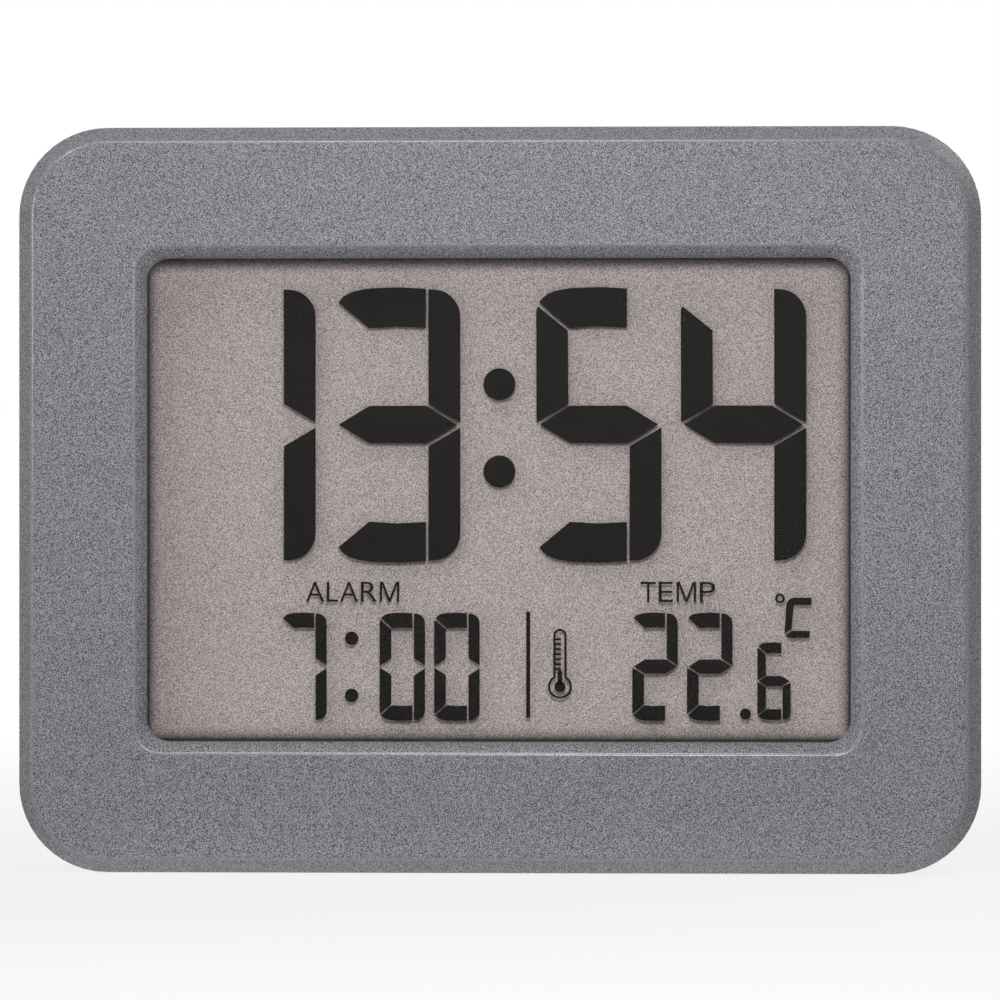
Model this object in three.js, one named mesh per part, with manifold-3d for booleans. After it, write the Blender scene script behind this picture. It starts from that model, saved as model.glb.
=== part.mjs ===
// Digital quartz alarm clock, standing upright with its display towards -Y. Sizes are in millimetres.
// Every piece is drawn in the face frame: x to the right, y up from the middle of the face, and depth
// counted from the front face towards the back. One turned group stands the whole clock up.
import * as THREE from "three";
import { mergeVertices } from "three/addons/utils/BufferGeometryUtils.js";
import Module from "manifold-3d";

const wasm = await Module();
wasm.setup();

// Clearances shared by all fits, and how far joined bodies and cuts run past a face
const fit = { sheet: 0.1, seat: 0.15, slide: 0.3, pivot: 0.1, thread: 0.15, guide: 0.2 };
const bite = 0.2;
const past = 1;
const weld = 1e-4;

// Number of flat sides on round features and of steps in a quarter turn
const sides = { large: 32, round: 20, small: 14, hole: 12, tube: 7 };
const arcSteps = { case: 8, mouth: 6, small: 3 };

// Case shells
const shell = { width: 130, height: 100.8, corner: 12, wall: 2, frontWall: 2.5, backWall: 2 };
const rim = { width: 2, depth: 2.5 };
const parting = { depth: 9.5, gap: 0.3, tongueReach: 2, tongueWall: 1, tongueRoot: 1.2 };
const shoulder = { start: 6, middle: 2.4, end: 0.8, middleInset: 0.9, endInset: 2.2, backInset: 4 };

// Plain case round the display opening, and the bevel of that opening
const surround = { side: 17.35, level: 17.5 };
const bevel = { width: 1.5, depth: 1.5, corner: 2.3 };

// Sheets of the display; a margin is how far a sheet reaches past the opening on each side
const windowSheet = { margin: 2.6, thickness: 1, corner: 2 };
const windowRib = { wall: 1.2, height: 1.6 };
const gasketSheet = { margin: 0.6, thickness: 0.5 };
const polariserSheet = { margin: 2.1, thickness: 0.2 };
const glassSheet = { margin: 2.6, thickness: 0.7, contactLedge: 3 };
const segmentSheet = { margin: 1.8, relief: 0.15, film: 0.15 };
const reflectorSheet = { margin: 2.1, thickness: 0.2 };
const sheetCorner = 0.6;

// Display holder and the contact strips between glass and board
const holder = { wall: 1.9, corner: 1.5, floor: 1.2, windowWidth: 64, windowHeight: 40 };
const strip = { shorter: 6.5, width: 2 };

// Circuit board, its screws and their posts in the front case
const board = { edgeX: 7, edgeY: 6.4, thickness: 1.6, front: 9.6, notchGap: 0.6 };
const boardScrew = { shank: 0.8, head: 2, headHeight: 1.5, crown: 0.6, reach: 5.8, slot: 0.5 };
const boardPost = { y: 24, radius: 2.2, holeFront: 4.5, clearHole: 1.1 };

// Case screws, their pillars in the front case and their tubes in the rear cover
const caseScrew = { shank: 1.2, head: 2.5, headHeight: 1.8, crown: 0.8, reach: 11.3, slot: 0.7 };
const pillar = { edgeX: 9, edgeY: 9.4, radius: 3, back: 17, holeFront: 6 };
const screwTube = { radius: 3.4, floor: 2, bore: 1.5, sink: 2.8 };

// Fold-out stand
const stand = { width: 34, thickness: 2.6, hingeY: 6, footGap: 4.9, corner: 4, edge: 0.4 };
const standPin = { radius: 0.9, reach: 1.7 };
const standBay = { gap: 0.3, floor: 2, side: 2.2, top: 2 };
const standGrip = { width: 14, height: 0.8, depth: 0.5, pitch: 2, count: 3, bottom: 2.5 };

// Battery cells, their bay and its door
const cell = { radius: 5.25, length: 44.5, nubRadius: 1.9, nubHeight: 1, edge: 0.4 };
const cellRoom = { below: 0.45, above: 1.15, between: 0.7, beside: 0.9, ends: 7.7 };
const bay = { x: 35.25, y: -8.5, wall: 1.3, floor: 1, boardGap: 0.6 };
const ledge = { width: 1, height: 4, thickness: 1, spread: 18 };
const door = { thickness: 1.9, sink: 0.2, corner: 0.8, edge: 0.3 };
const doorTongue = { width: 9, length: 8, slit: 0.8 };
const doorHook = { width: 2.6, spread: 2.4, thickness: 1.1, reach: 1.2, root: 1.1, slotRoom: 0.4 };
const doorNotch = { width: 11, height: 3, depth: 1.2 };
const doorGrip = { width: 6, height: 0.8, depth: 0.4, pitch: 1.8, count: 3 };

// Battery contacts
const contact = { thickness: 0.4, width: 9.6, height: 7.8 };
const tab = { width: 2.8, thickness: 0.4, reach: 2, offset: 3, slitWidth: 3.6, slitHeight: 1.2 };
const spring = { wire: 0.3, wideRadius: 3.5, narrowRadius: 2.3, turns: 4, stepsPerTurn: 8, sides: 5 };
const lead = { radius: 0.55, steps: 14 };

// Rear keys and their switches on the board
const keyPanel = { x: -35, y: -11, width: 17, height: 45, depth: 1.2, wall: 2, rim: 1.5, corner: 2.5 };
const rearKeys = [
  { name: "mode", y: 6 },
  { name: "plus", y: -5 },
  { name: "minus", y: -16 },
];
const rearKey = { width: 9, height: 6, corner: 1.5, sink: 0.3, edge: 0.5, stem: 1.6 };
const keyFlange = { reach: 1, thickness: 1.3 };
const keyTravel = 0.6;
const keySwitch = { size: 6, height: 3.5, plunger: 1.7, plungerRise: 1.1, well: 2.4 };

// Snooze bar on the top and its switch near the upper edge of the board
const snooze = { width: 33.4, length: 6, corner: 2, proud: 0.4, edge: 0.3, depth: 16 };
const snoozeFlange = { reach: 1.2, thickness: 1.5 };
const snoozeStem = { width: 4.4, length: 2.6 };
const snoozeSwitch = { width: 6, height: 3.6, length: 4, plunger: 1.4, plungerRise: 1.4, well: 2.4 };
const snoozeSwitchDrop = 5.2;

// Alarm slide switch
const slider = { y: -28, travel: 4, width: 5.4, height: 3 };
const sliderFlange = { width: 15, height: 6, thickness: 1.2 };
const sliderFork = { width: 5, gap: 0.5 };
const sliderGrip = { count: 3, width: 0.7, pitch: 1.5, depth: 0.4 };
const slideSwitch = { width: 9.4, height: 4, depth: 3.4, slotDepth: 1.2 };
const lever = { width: 1.6, height: 1.4, rise: 2.5 };

// Buzzer, keyhole and air slots in the back
const buzzer = { x: -35, y: 29, radius: 13.5, plate: 0.3, ceramicRadius: 9.5, ceramic: 0.25 };
const buzzerRing = { wall: 1.6, height: 2 };
const soundHole = { radius: 1.1, circle: 5.5, count: 6 };
const keyhole = { y: 32, headRadius: 4, neckRadius: 2, neckRise: 6.5 };
const keyholePocket = { width: 12, height: 14.5, y: 35.2, depth: 4, wall: 1.5 };
const airSlot = { x: 35.25, y: 32, width: 1.6, height: 11, pitch: 3.6, count: 5 };

// Small parts on the board
const chip = { x: 2, y: -12, radius: 6.5, edge: 0.4, rise: 1.2 };
const crystal = { x: 5, y: 15, radius: 1.5, length: 8 };
const capacitor = { x: -11, y: 8, radius: 2.5, length: 7 };
const ceramicBlock = { x: 10, y: 2, width: 4.4, thickness: 1.8, height: 4 };
const sensor = { x: 35.25, y: 33, bead: 1.4, stalk: 0.5, height: 5 };

// Digits and signs on the display, measured from the middle of the face
const timeDigit = {
  width: 16.9, height: 37.2, stroke: 4.4, bar: 5.3, gap: 0.3, shoulder: 3.2, crown: 0.25, tip: 1.9, mitre: 0.5,
};
const alarmDigit = {
  width: 6.1, height: 14.6, stroke: 1.62, bar: 2.15, gap: 0.2, shoulder: 1.1, crown: 0.1, tip: 0.75, mitre: 0.25,
};
const tenthsDigit = {
  width: 4.5, height: 10.5, stroke: 1.2, bar: 1.45, gap: 0.2, shoulder: 0.8, crown: 0.08, tip: 0.55, mitre: 0.2,
};
const digitRows = [
  { style: timeDigit, y: 10.1, digits: [["1", -33.3], ["3", -13.7], ["5", 13.5], ["4", 33.1]] },
  { style: alarmDigit, y: -22.6, digits: [["7", -26.4], ["0", -13.1], ["0", -5.7], ["2", 21.1], ["2", 28.5]] },
  { style: tenthsDigit, y: -24.5, digits: [["6", 37.2]] },
];
const litBars = { 0: "abcdef", 1: "bc", 2: "abged", 3: "abgcd", 4: "fgbc", 5: "afgcd", 6: "afgedc", 7: "abc" };
const dots = [
  { x: 0, y: 15.7, radius: 2.2 },
  { x: 0, y: 3.9, radius: 2.2 },
  { x: -20, y: -18.7, radius: 0.9 },
  { x: -20, y: -26.4, radius: 0.9 },
  { x: 33.3, y: -28.9, radius: 0.75 },
];
const divider = { x: 3.9, y: -22.3, width: 0.54, height: 14.4, corner: 0.1 };
const degree = { x: 38, y: -13.3, radius: 0.7, line: 0.25 };
const scaleLetter = { x: 40.5, y: -15.9, width: 3.4, height: 5.3, line: 0.9 };
const thermometer = { x: 8.2, top: -17.4, bulbY: -25.4, tube: 0.9, bulb: 1.6, line: 0.25, filling: 0.75 };

// Finishes by name: colour, roughness, metalness and opacity
const finishes = {
  caseGrey: ["#81808a", 0.6, 0, 1],
  keyGrey: ["#55545a", 0.6, 0, 1],
  clear: ["#e8eef0", 0.05, 0, 0.18],
  glassClear: ["#dfe8e6", 0.05, 0, 0.25],
  gasketBlack: ["#171717", 0.9, 0, 1],
  segmentBlack: ["#262423", 0.5, 0, 1],
  reflector: ["#a29896", 0.5, 0.1, 1],
  stripGrey: ["#3a3a3c", 0.9, 0, 1],
  holderWhite: ["#d8d8d4", 0.6, 0, 1],
  boardGreen: ["#2f5f3a", 0.5, 0, 1],
  resinBlack: ["#141416", 0.35, 0, 1],
  tin: ["#b9bcc0", 0.35, 0.9, 1],
  brass: ["#b58d45", 0.35, 0.9, 1],
  ceramicPale: ["#ddd8cc", 0.6, 0, 1],
  cellSleeve: ["#3f5f7a", 0.4, 0.2, 1],
  leadRed: ["#a02a24", 0.6, 0, 1],
  leadBlack: ["#1b1b1c", 0.6, 0, 1],
  switchBlack: ["#242426", 0.6, 0, 1],
  sensorBrown: ["#5a3a22", 0.5, 0, 1],
};

// Sizes and places that follow from the ones above
const opening = { width: shell.width - 2 * surround.side, height: shell.height - 2 * surround.level };
const frontGlass = grown(opening, glassSheet.margin, glassSheet.margin + glassSheet.contactLedge);
const rearGlass = grown(opening, glassSheet.margin);
const holderOuter = grown(frontGlass, fit.slide + holder.wall);
const boardSize = { width: shell.width - 2 * board.edgeX, height: shell.height - 2 * board.edgeY };
const boardPostPlace = { x: (holderOuter.width + boardSize.width) / 4, y: boardPost.y };
const pillarPlace = { x: shell.width / 2 - pillar.edgeX, y: shell.height / 2 - pillar.edgeY };
const cellPitch = 2 * cell.radius + cellRoom.between;
const baySize = { width: 2 * cellPitch + cellRoom.beside, height: cell.length + cellRoom.ends };
const bayBottom = bay.y - baySize.height / 2;
const bayTop = bay.y + baySize.height / 2;
const topInside = shell.height / 2 - shell.wall;
const standFoot = stand.footGap - shell.height / 2;

// Depths that follow from the sizes above, from the front to the back
const sheets = stackedSheets(shell.frontWall, {
  window: windowSheet.thickness,
  gasket: gasketSheet.thickness,
  polariser: polariserSheet.thickness,
  frontGlass: glassSheet.thickness,
  segments: segmentSheet.relief + segmentSheet.film,
  rearGlass: glassSheet.thickness,
  reflector: reflectorSheet.thickness,
});
const coverFront = parting.depth + parting.gap;
const boardBack = board.front + board.thickness;
const partSeat = boardBack + fit.sheet;
const bayFloor = boardBack + bay.boardGap + bay.floor;
const cellDepth = bayFloor + cellRoom.below + cell.radius;
const tubeFront = pillar.back + fit.guide;
const screwSeat = tubeFront + screwTube.floor;
const doorInside = cellDepth + cell.radius + cellRoom.above;
const doorOutside = doorInside + door.thickness;
const caseDepth = doorOutside + door.sink;
const backInside = caseDepth - shell.backWall;
const cutEnd = caseDepth + past;
const standDepth = caseDepth - fit.sheet - stand.thickness / 2;
const standFloor = standDepth - stand.thickness / 2 - standBay.gap;
const panelOutside = caseDepth - keyPanel.depth;
const panelInside = panelOutside - keyPanel.wall;

// A size with the given margins added on both sides
function grown({ width, height }, marginX, marginY = marginX) {
  return { width: width + 2 * marginX, height: height + 2 * marginY };
}

// Front and back depth of each sheet when they lie one behind another
function stackedSheets(start, thicknesses) {
  const stack = {};
  let depth = start;
  for (const [name, thickness] of Object.entries(thicknesses)) {
    const front = depth + fit.sheet;
    stack[name] = { front, back: front + thickness };
    depth = front + thickness;
  }
  return stack;
}

// A closed geometry as a solid that can be joined and cut
function solid(geometry) {
  geometry.deleteAttribute("normal");
  geometry.deleteAttribute("uv");
  const merged = mergeVertices(geometry, weld);
  const vertices = merged.index.array;
  const triangles = [];
  for (let i = 0; i < vertices.length; i += 3) {
    const [a, b, c] = [vertices[i], vertices[i + 1], vertices[i + 2]];
    if (a !== b && b !== c && c !== a) triangles.push(a, b, c);
  }
  const vertProperties = new Float32Array(merged.attributes.position.array);
  const mesh = new wasm.Mesh({ numProp: 3, vertProperties, triVerts: new Uint32Array(triangles) });
  return new wasm.Manifold(mesh);
}

function join(first, ...others) {
  return others.reduce((whole, part) => whole.add(part), first);
}

function cut(first, ...others) {
  return others.reduce((whole, part) => whole.subtract(part), first);
}

// A named mesh with its own material
function piece(name, body, finish) {
  const { vertProperties, triVerts } = body.getMesh();
  const geometry = new THREE.BufferGeometry();
  geometry.setAttribute("position", new THREE.BufferAttribute(new Float32Array(vertProperties), 3));
  geometry.setIndex(new THREE.BufferAttribute(new Uint32Array(triVerts), 1));
  geometry.computeVertexNormals();
  const [color, roughness, metalness, opacity] = finishes[finish];
  const look = { color, roughness, metalness, opacity, transparent: opacity < 1 };
  const mesh = new THREE.Mesh(geometry, new THREE.MeshStandardMaterial(look));
  mesh.name = name;
  return mesh;
}

// Corner points of a rounded rectangle, counter-clockwise
function rectPoints({ width, height }, radius, x = 0, y = 0, steps = arcSteps.small) {
  const quarters = [[1, 1], [-1, 1], [-1, -1], [1, -1]];
  return quarters.flatMap(([sx, sy], quarter) =>
    Array.from({ length: steps + 1 }, (_, i) => {
      const angle = (quarter + i / steps) * (Math.PI / 2);
      const cx = x + sx * (width / 2 - radius);
      const cy = y + sy * (height / 2 - radius);
      return new THREE.Vector2(cx + radius * Math.cos(angle), cy + radius * Math.sin(angle));
    }),
  );
}

function circlePoints(radius, x = 0, y = 0, count = sides.small) {
  return Array.from({ length: count }, (_, i) => {
    const angle = (i / count) * Math.PI * 2;
    return new THREE.Vector2(x + radius * Math.cos(angle), y + radius * Math.sin(angle));
  });
}

// A flat outline, with holes if any, from its front depth to its back depth
function slab(points, front, back, holes = []) {
  const shape = new THREE.Shape(points);
  shape.holes = holes.map((hole) => new THREE.Path(hole));
  const geometry = new THREE.ExtrudeGeometry(shape, { depth: back - front, bevelEnabled: false });
  geometry.translate(0, 0, -back);
  return solid(geometry);
}

// An outline given as x and depth, standing from one height to another
function upright(points, bottom, top) {
  const shape = new THREE.Shape(points);
  const geometry = new THREE.ExtrudeGeometry(shape, { depth: top - bottom, bevelEnabled: false });
  geometry.rotateX(-Math.PI / 2);
  geometry.translate(0, bottom, 0);
  return solid(geometry);
}

function block(x, y, width, height, front, back) {
  const geometry = new THREE.BoxGeometry(width, height, back - front);
  geometry.translate(x, y, -(front + back) / 2);
  return solid(geometry);
}

// Round bars along depth, along y and along x
function rod(radius, x, y, front, back, count = sides.round) {
  const geometry = new THREE.CylinderGeometry(radius, radius, back - front, count);
  geometry.rotateX(Math.PI / 2);
  geometry.translate(x, y, -(front + back) / 2);
  return solid(geometry);
}

function post(radius, x, depth, bottom, top) {
  const geometry = new THREE.CylinderGeometry(radius, radius, top - bottom, sides.small);
  geometry.translate(x, (bottom + top) / 2, -depth);
  return solid(geometry);
}

function axle(radius, y, depth, left, right) {
  const geometry = new THREE.CylinderGeometry(radius, radius, right - left, sides.round);
  geometry.rotateZ(Math.PI / 2);
  geometry.translate((left + right) / 2, y, -depth);
  return solid(geometry);
}

// A turned piece about the depth axis; its outline is given as radius and depth
function turned(outline, x, y, count = sides.small) {
  const profile = outline.map(([radius, depth]) => new THREE.Vector2(radius, -depth)).reverse();
  const geometry = new THREE.LatheGeometry(profile, count);
  geometry.rotateX(Math.PI / 2);
  geometry.translate(x, y, 0);
  return solid(geometry);
}

// Rounded rectangles of changing inset joined in depth order; steps are pairs of depth and inset
function loft({ width, height, corner, x = 0, y = 0 }, steps, arc = arcSteps.small) {
  const rings = steps.map(([, inset]) => {
    const radius = Math.max(corner - inset, fit.sheet);
    return rectPoints(grown({ width, height }, -inset), radius, x, y, arc);
  });
  const count = rings[0].length;
  const positions = rings.flatMap((ring, row) => ring.flatMap((point) => [point.x, point.y, -steps[row][0]]));
  const triangles = [];
  for (let row = 0; row + 1 < rings.length; row += 1) {
    for (let i = 0; i < count; i += 1) {
      const a = row * count + i;
      const b = row * count + ((i + 1) % count);
      triangles.push(a, a + count, b + count, a, b + count, b);
    }
  }
  const last = (rings.length - 1) * count;
  for (let i = 1; i + 1 < count; i += 1) {
    triangles.push(0, i, i + 1, last, last + i + 1, last + i);
  }
  const geometry = new THREE.BufferGeometry();
  geometry.setAttribute("position", new THREE.Float32BufferAttribute(positions, 3));
  geometry.setIndex(triangles);
  return solid(geometry);
}

// A round wire along a curve in one unbroken tube
function wire(curve, radius, steps, count) {
  const section = new THREE.Shape(circlePoints(radius, 0, 0, count));
  return solid(new THREE.ExtrudeGeometry(section, { steps, bevelEnabled: false, extrudePath: curve }));
}

// A lead through chosen points of x, y and depth
function leadAlong(points) {
  const curve = new THREE.CatmullRomCurve3(points.map(([x, y, depth]) => new THREE.Vector3(x, y, -depth)));
  return wire(curve, lead.radius, lead.steps, sides.tube);
}

// The four mirrored places of something that sits near each corner
function corners({ x, y }) {
  return [[x, y], [-x, y], [-x, -y], [x, -y]];
}

// Evenly spaced places about zero
function spread(count, pitch) {
  return Array.from({ length: count }, (_, i) => (i - (count - 1) / 2) * pitch);
}

// Front case: frame with a rounded rim, bevelled window, window rib, pillars and board posts
function frontCase() {
  const outside = loft(shell, [[0, rim.width], [rim.depth, 0], [parting.depth, 0]], arcSteps.case);
  const hollow = [[shell.frontWall, shell.wall], [parting.depth + past, shell.wall]];
  const mouth = { ...grown(opening, bevel.width), corner: bevel.corner + bevel.width };
  const funnel = [
    [-past, (-past * bevel.width) / bevel.depth],
    [bevel.depth, bevel.width],
    [shell.frontWall + past, bevel.width],
  ];
  const frame = cut(outside, loft(shell, hollow, arcSteps.case), loft(mouth, funnel, arcSteps.mouth));
  const root = shell.frontWall - bite;
  const ribBack = shell.frontWall + windowRib.height;
  const rib = slab(windowOutline(fit.slide + windowRib.wall), root, ribBack, [windowOutline(fit.slide)]);
  const postBack = board.front - fit.sheet;
  const pillars = corners(pillarPlace).map(([x, y]) => rod(pillar.radius, x, y, root, pillar.back));
  const posts = corners(boardPostPlace).map(([x, y]) => rod(boardPost.radius, x, y, root, postBack));
  const pillarHoles = corners(pillarPlace).map(([x, y]) =>
    rod(caseScrew.shank + fit.thread, x, y, pillar.holeFront, pillar.back + past),
  );
  const postHoles = corners(boardPostPlace).map(([x, y]) =>
    rod(boardScrew.shank + fit.thread, x, y, boardPost.holeFront, postBack + past),
  );
  return cut(join(frame, rib, ...pillars, ...posts), ...pillarHoles, ...postHoles);
}

function windowOutline(extra = 0) {
  return rectPoints(grown(opening, windowSheet.margin + extra), windowSheet.corner + extra);
}

// Rear cover: tub with a tongue inside the front case and everything that the back carries
function rearCover() {
  const outside = loft(shell, [
    [coverFront, 0],
    [caseDepth - shoulder.start, 0],
    [caseDepth - shoulder.middle, shoulder.middleInset],
    [caseDepth - shoulder.end, shoulder.endInset],
    [caseDepth, shoulder.backInset],
  ], arcSteps.case);
  const inside = loft(shell, [
    [coverFront - past, shell.wall],
    [caseDepth - shoulder.start, shell.wall],
    [caseDepth - shoulder.middle - shell.wall / 2, shell.wall + shoulder.middleInset],
    [backInside, shell.wall + shoulder.endInset],
  ], arcSteps.case);
  const housings = backHousings().map((housing) => housing.intersect(outside));
  return cut(join(cut(outside, inside), tongue(), ...housings), ...backHollows());
}

// Tongue inside the wall of the front case, held by a wider root against the wall of the tub
function tongue() {
  const outline = (inset) => rectPoints(grown(shell, -inset), shell.corner - inset, 0, 0, arcSteps.case);
  const face = shell.wall + fit.guide;
  const hole = [outline(face + parting.tongueWall)];
  const lip = slab(outline(face), coverFront - parting.tongueReach, coverFront + bite, hole);
  return join(lip, slab(outline(shell.wall - bite), coverFront, coverFront + parting.tongueRoot, hole));
}

// Everything that is added inside the tub before the hollows are cut
function backHousings() {
  const seam = backInside + bite;
  const ring = circlePoints(buzzer.radius, buzzer.x, buzzer.y, sides.large);
  const ringHole = circlePoints(buzzer.radius - buzzerRing.wall, buzzer.x, buzzer.y, sides.large);
  const pocketFront = backInside - keyholePocket.depth - keyholePocket.wall;
  return [
    standBox(standBay.side, standBay.top, standFloor - standBay.floor, seam),
    cut(bayBox(bay.wall, bayFloor - bay.floor, seam), bayBox(0, bayFloor, cutEnd)),
    ...doorLedges(),
    slab(panelOutline(keyPanel.rim), panelInside, seam),
    slab(ring, backInside - buzzerRing.height, seam, [ringHole]),
    pocketBox(keyholePocket.wall, pocketFront, seam),
    ...corners(pillarPlace).map(([x, y]) => rod(screwTube.radius, x, y, tubeFront, seam)),
  ];
}

// Block round the folded stand, open through the lower edge of the case
function standBox(side, top, front, back) {
  const high = stand.hingeY + stand.thickness / 2 + standBay.gap + top;
  const low = -shell.height / 2 - past;
  const width = stand.width + 2 * (standBay.gap + side);
  return block(0, (high + low) / 2, width, high - low, front, back);
}

function bayBox(extra, front, back) {
  const { width, height } = grown(baySize, extra);
  return block(bay.x, bay.y, width, height, front, back);
}

function pocketBox(extra, front, back) {
  const { width, height } = grown(keyholePocket, extra);
  return block(0, keyholePocket.y, width, height, front, back);
}

function panelOutline(extra) {
  return rectPoints(grown(keyPanel, extra), keyPanel.corner + extra, keyPanel.x, keyPanel.y);
}

// Ledges on the side walls of the bay that carry the closed door
function doorLedges() {
  const back = doorInside - fit.seat;
  return corners({ x: (baySize.width - ledge.width) / 2, y: ledge.spread }).map(([x, y]) =>
    block(bay.x + x, bay.y + y, ledge.width + bite, ledge.height, back - ledge.thickness, back),
  );
}

// Everything that is cut out of the rear cover
function backHollows() {
  const socketReach = stand.width / 2 + standPin.reach + fit.slide;
  return [
    standBox(0, 0, standFloor, cutEnd),
    axle(standPin.radius + fit.pivot, stand.hingeY, standDepth, -socketReach, socketReach),
    bayBox(0, doorInside - fit.sheet, cutEnd),
    ...bayWallSlots(),
    block(bay.x, bayTop, doorNotch.width, 2 * doorNotch.height, caseDepth - doorNotch.depth, cutEnd),
    slab(panelOutline(0), panelOutside, cutEnd),
    ...rearKeys.map(({ y }) => slab(keyOutline(y, fit.slide), panelInside - past, cutEnd)),
    sliderSlot(),
    ...soundHoles(),
    pocketBox(0, backInside - keyholePocket.depth, backInside),
    ...keyholeCut(),
    ...airSlots(),
    upright(snoozeOutline(fit.slide), topInside - past, shell.height / 2 + past),
    ...corners(pillarPlace).flatMap(([x, y]) => [
      rod(screwTube.bore, x, y, tubeFront - past, screwSeat + past),
      rod(screwTube.sink, x, y, screwSeat, cutEnd),
    ]),
  ];
}

// Slots through the lower wall of the bay: two for the door hooks, two for the contact tabs
function bayWallSlots() {
  const y = bayBottom - bay.wall / 2;
  const height = bay.wall + 2 * bite;
  const hookWidth = doorHook.width + 2 * fit.slide;
  const hookFront = doorInside - doorHook.thickness - doorHook.slotRoom;
  const hookBack = doorInside + fit.slide;
  const tabFront = cellDepth - tab.offset - tab.slitHeight / 2;
  const tabBack = tabFront + tab.slitHeight;
  return [-1, 1].flatMap((side) => [
    block(bay.x + side * doorHook.spread, y, hookWidth, height, hookFront, hookBack),
    block(bay.x + (side * cellPitch) / 2, y, tab.slitWidth, height, tabFront, tabBack),
  ]);
}

function keyOutline(y, extra) {
  return rectPoints(grown(rearKey, extra), rearKey.corner + extra, keyPanel.x, y);
}

function sliderSlot() {
  const width = slider.width + slider.travel + 2 * fit.slide;
  return block(keyPanel.x, slider.y, width, slider.height + 2 * fit.slide, panelInside - past, cutEnd);
}

function soundHoles() {
  const around = circlePoints(soundHole.circle, 0, 0, soundHole.count);
  return [new THREE.Vector2(), ...around].map(({ x, y }) =>
    rod(soundHole.radius, buzzer.x + x, buzzer.y + y, backInside - past, cutEnd, sides.hole),
  );
}

// Round mouth for the head of a wall screw, with a narrow neck above it
function keyholeCut() {
  const { y, headRadius, neckRadius, neckRise } = keyhole;
  const front = backInside - bite;
  return [
    rod(headRadius, 0, y, front, cutEnd),
    rod(neckRadius, 0, y + neckRise, front, cutEnd),
    block(0, y + neckRise / 2, 2 * neckRadius, neckRise, front, cutEnd),
  ];
}

function airSlots() {
  return spread(airSlot.count, airSlot.pitch).map((offset) => {
    const outline = rectPoints(airSlot, airSlot.width / 2, airSlot.x + offset, airSlot.y);
    return slab(outline, backInside - past, cutEnd);
  });
}

// Outline of the snooze bar as x and depth
function snoozeOutline(extra) {
  const size = grown({ width: snooze.width, height: snooze.length }, extra);
  return rectPoints(size, snooze.corner + extra, 0, snooze.depth);
}

// Stand leg with a rounded hinge end, two pins and grip grooves at its foot
function standLeg() {
  const front = standDepth - stand.thickness / 2;
  const back = standDepth + stand.thickness / 2;
  const longer = stand.hingeY - standFoot + stand.corner;
  const plate = loft(
    { width: stand.width, height: longer, corner: stand.corner, y: standFoot + longer / 2 },
    [[front, 0], [back - stand.edge, 0], [back, stand.edge]],
  );
  const belowHinge = block(0, stand.hingeY - longer / 2, stand.width + past, longer, front - past, back + past);
  const knuckle = axle(stand.thickness / 2, stand.hingeY, standDepth, -stand.width / 2, stand.width / 2);
  const pinEnd = stand.width / 2 + standPin.reach;
  const pin = axle(standPin.radius, stand.hingeY, standDepth, -pinEnd, pinEnd);
  const grooves = Array.from({ length: standGrip.count }, (_, i) => {
    const y = standFoot + standGrip.bottom + i * standGrip.pitch;
    return block(0, y, standGrip.width, standGrip.height, back - standGrip.depth, back + past);
  });
  return cut(join(plate.intersect(belowHinge), knuckle, pin), ...grooves);
}

// Battery door with two hooks below and a spring tongue between two slits above
function batteryDoor() {
  const size = grown(baySize, -fit.slide);
  const bottom = bay.y - size.height / 2;
  const top = bay.y + size.height / 2;
  const plate = loft(
    { ...size, corner: door.corner, x: bay.x, y: bay.y },
    [[doorInside, 0], [doorOutside - door.edge, 0], [doorOutside, door.edge]],
  );
  const hooks = [-1, 1].map((side) => hookBelow(bay.x + side * doorHook.spread, bottom));
  const slits = [-1, 1].map((side) => {
    const x = bay.x + (side * (doorTongue.width + doorTongue.slit)) / 2;
    return block(x, top, doorTongue.slit, 2 * doorTongue.length, doorInside - past, cutEnd);
  });
  const grooves = Array.from({ length: doorGrip.count }, (_, i) => {
    const y = top - doorGrip.pitch * (i + 1);
    return block(bay.x, y, doorGrip.width, doorGrip.height, doorOutside - doorGrip.depth, cutEnd);
  });
  return cut(join(plate, ...hooks), ...slits, ...grooves);
}

// One hook: a foot that reaches under the edge of the opening and a root that joins it to the door
function hookBelow(x, bottom) {
  const low = bottom - doorHook.reach;
  const high = bottom + doorHook.root;
  const front = doorInside - doorHook.thickness;
  const foot = block(x, (low + high) / 2, doorHook.width, high - low, front, doorInside - fit.sheet);
  const root = block(x, (bottom + high) / 2, doorHook.width, doorHook.root, front, doorInside + bite);
  return join(foot, root);
}

// Pan head screw with a crossed slot, its head resting just behind the seat
function screw({ shank, head, headHeight, crown, reach, slot }, [x, y], seat) {
  const front = seat + fit.sheet;
  const top = front + headHeight;
  const outline = [
    [0, front - reach],
    [shank, front - reach + shank],
    [shank, front],
    [head, front],
    [head, top - crown],
    [head - crown, top],
    [0, top],
  ];
  const cross = [[head, slot], [slot, head]].map(([width, height]) =>
    block(x, y, width, height, top - crown, top + past),
  );
  return cut(turned(outline, x, y), ...cross);
}

// Case shells, stand and door, with the screws that hold the case together
function casePieces() {
  const screws = corners(pillarPlace).map((place, i) =>
    piece(`case_screw_${i + 1}`, screw(caseScrew, place, screwSeat), "tin"),
  );
  return [
    piece("front_case", frontCase(), "caseGrey"),
    piece("rear_cover", rearCover(), "caseGrey"),
    piece("stand_leg", standLeg(), "caseGrey"),
    piece("battery_door", batteryDoor(), "caseGrey"),
    ...screws,
  ];
}

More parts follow.
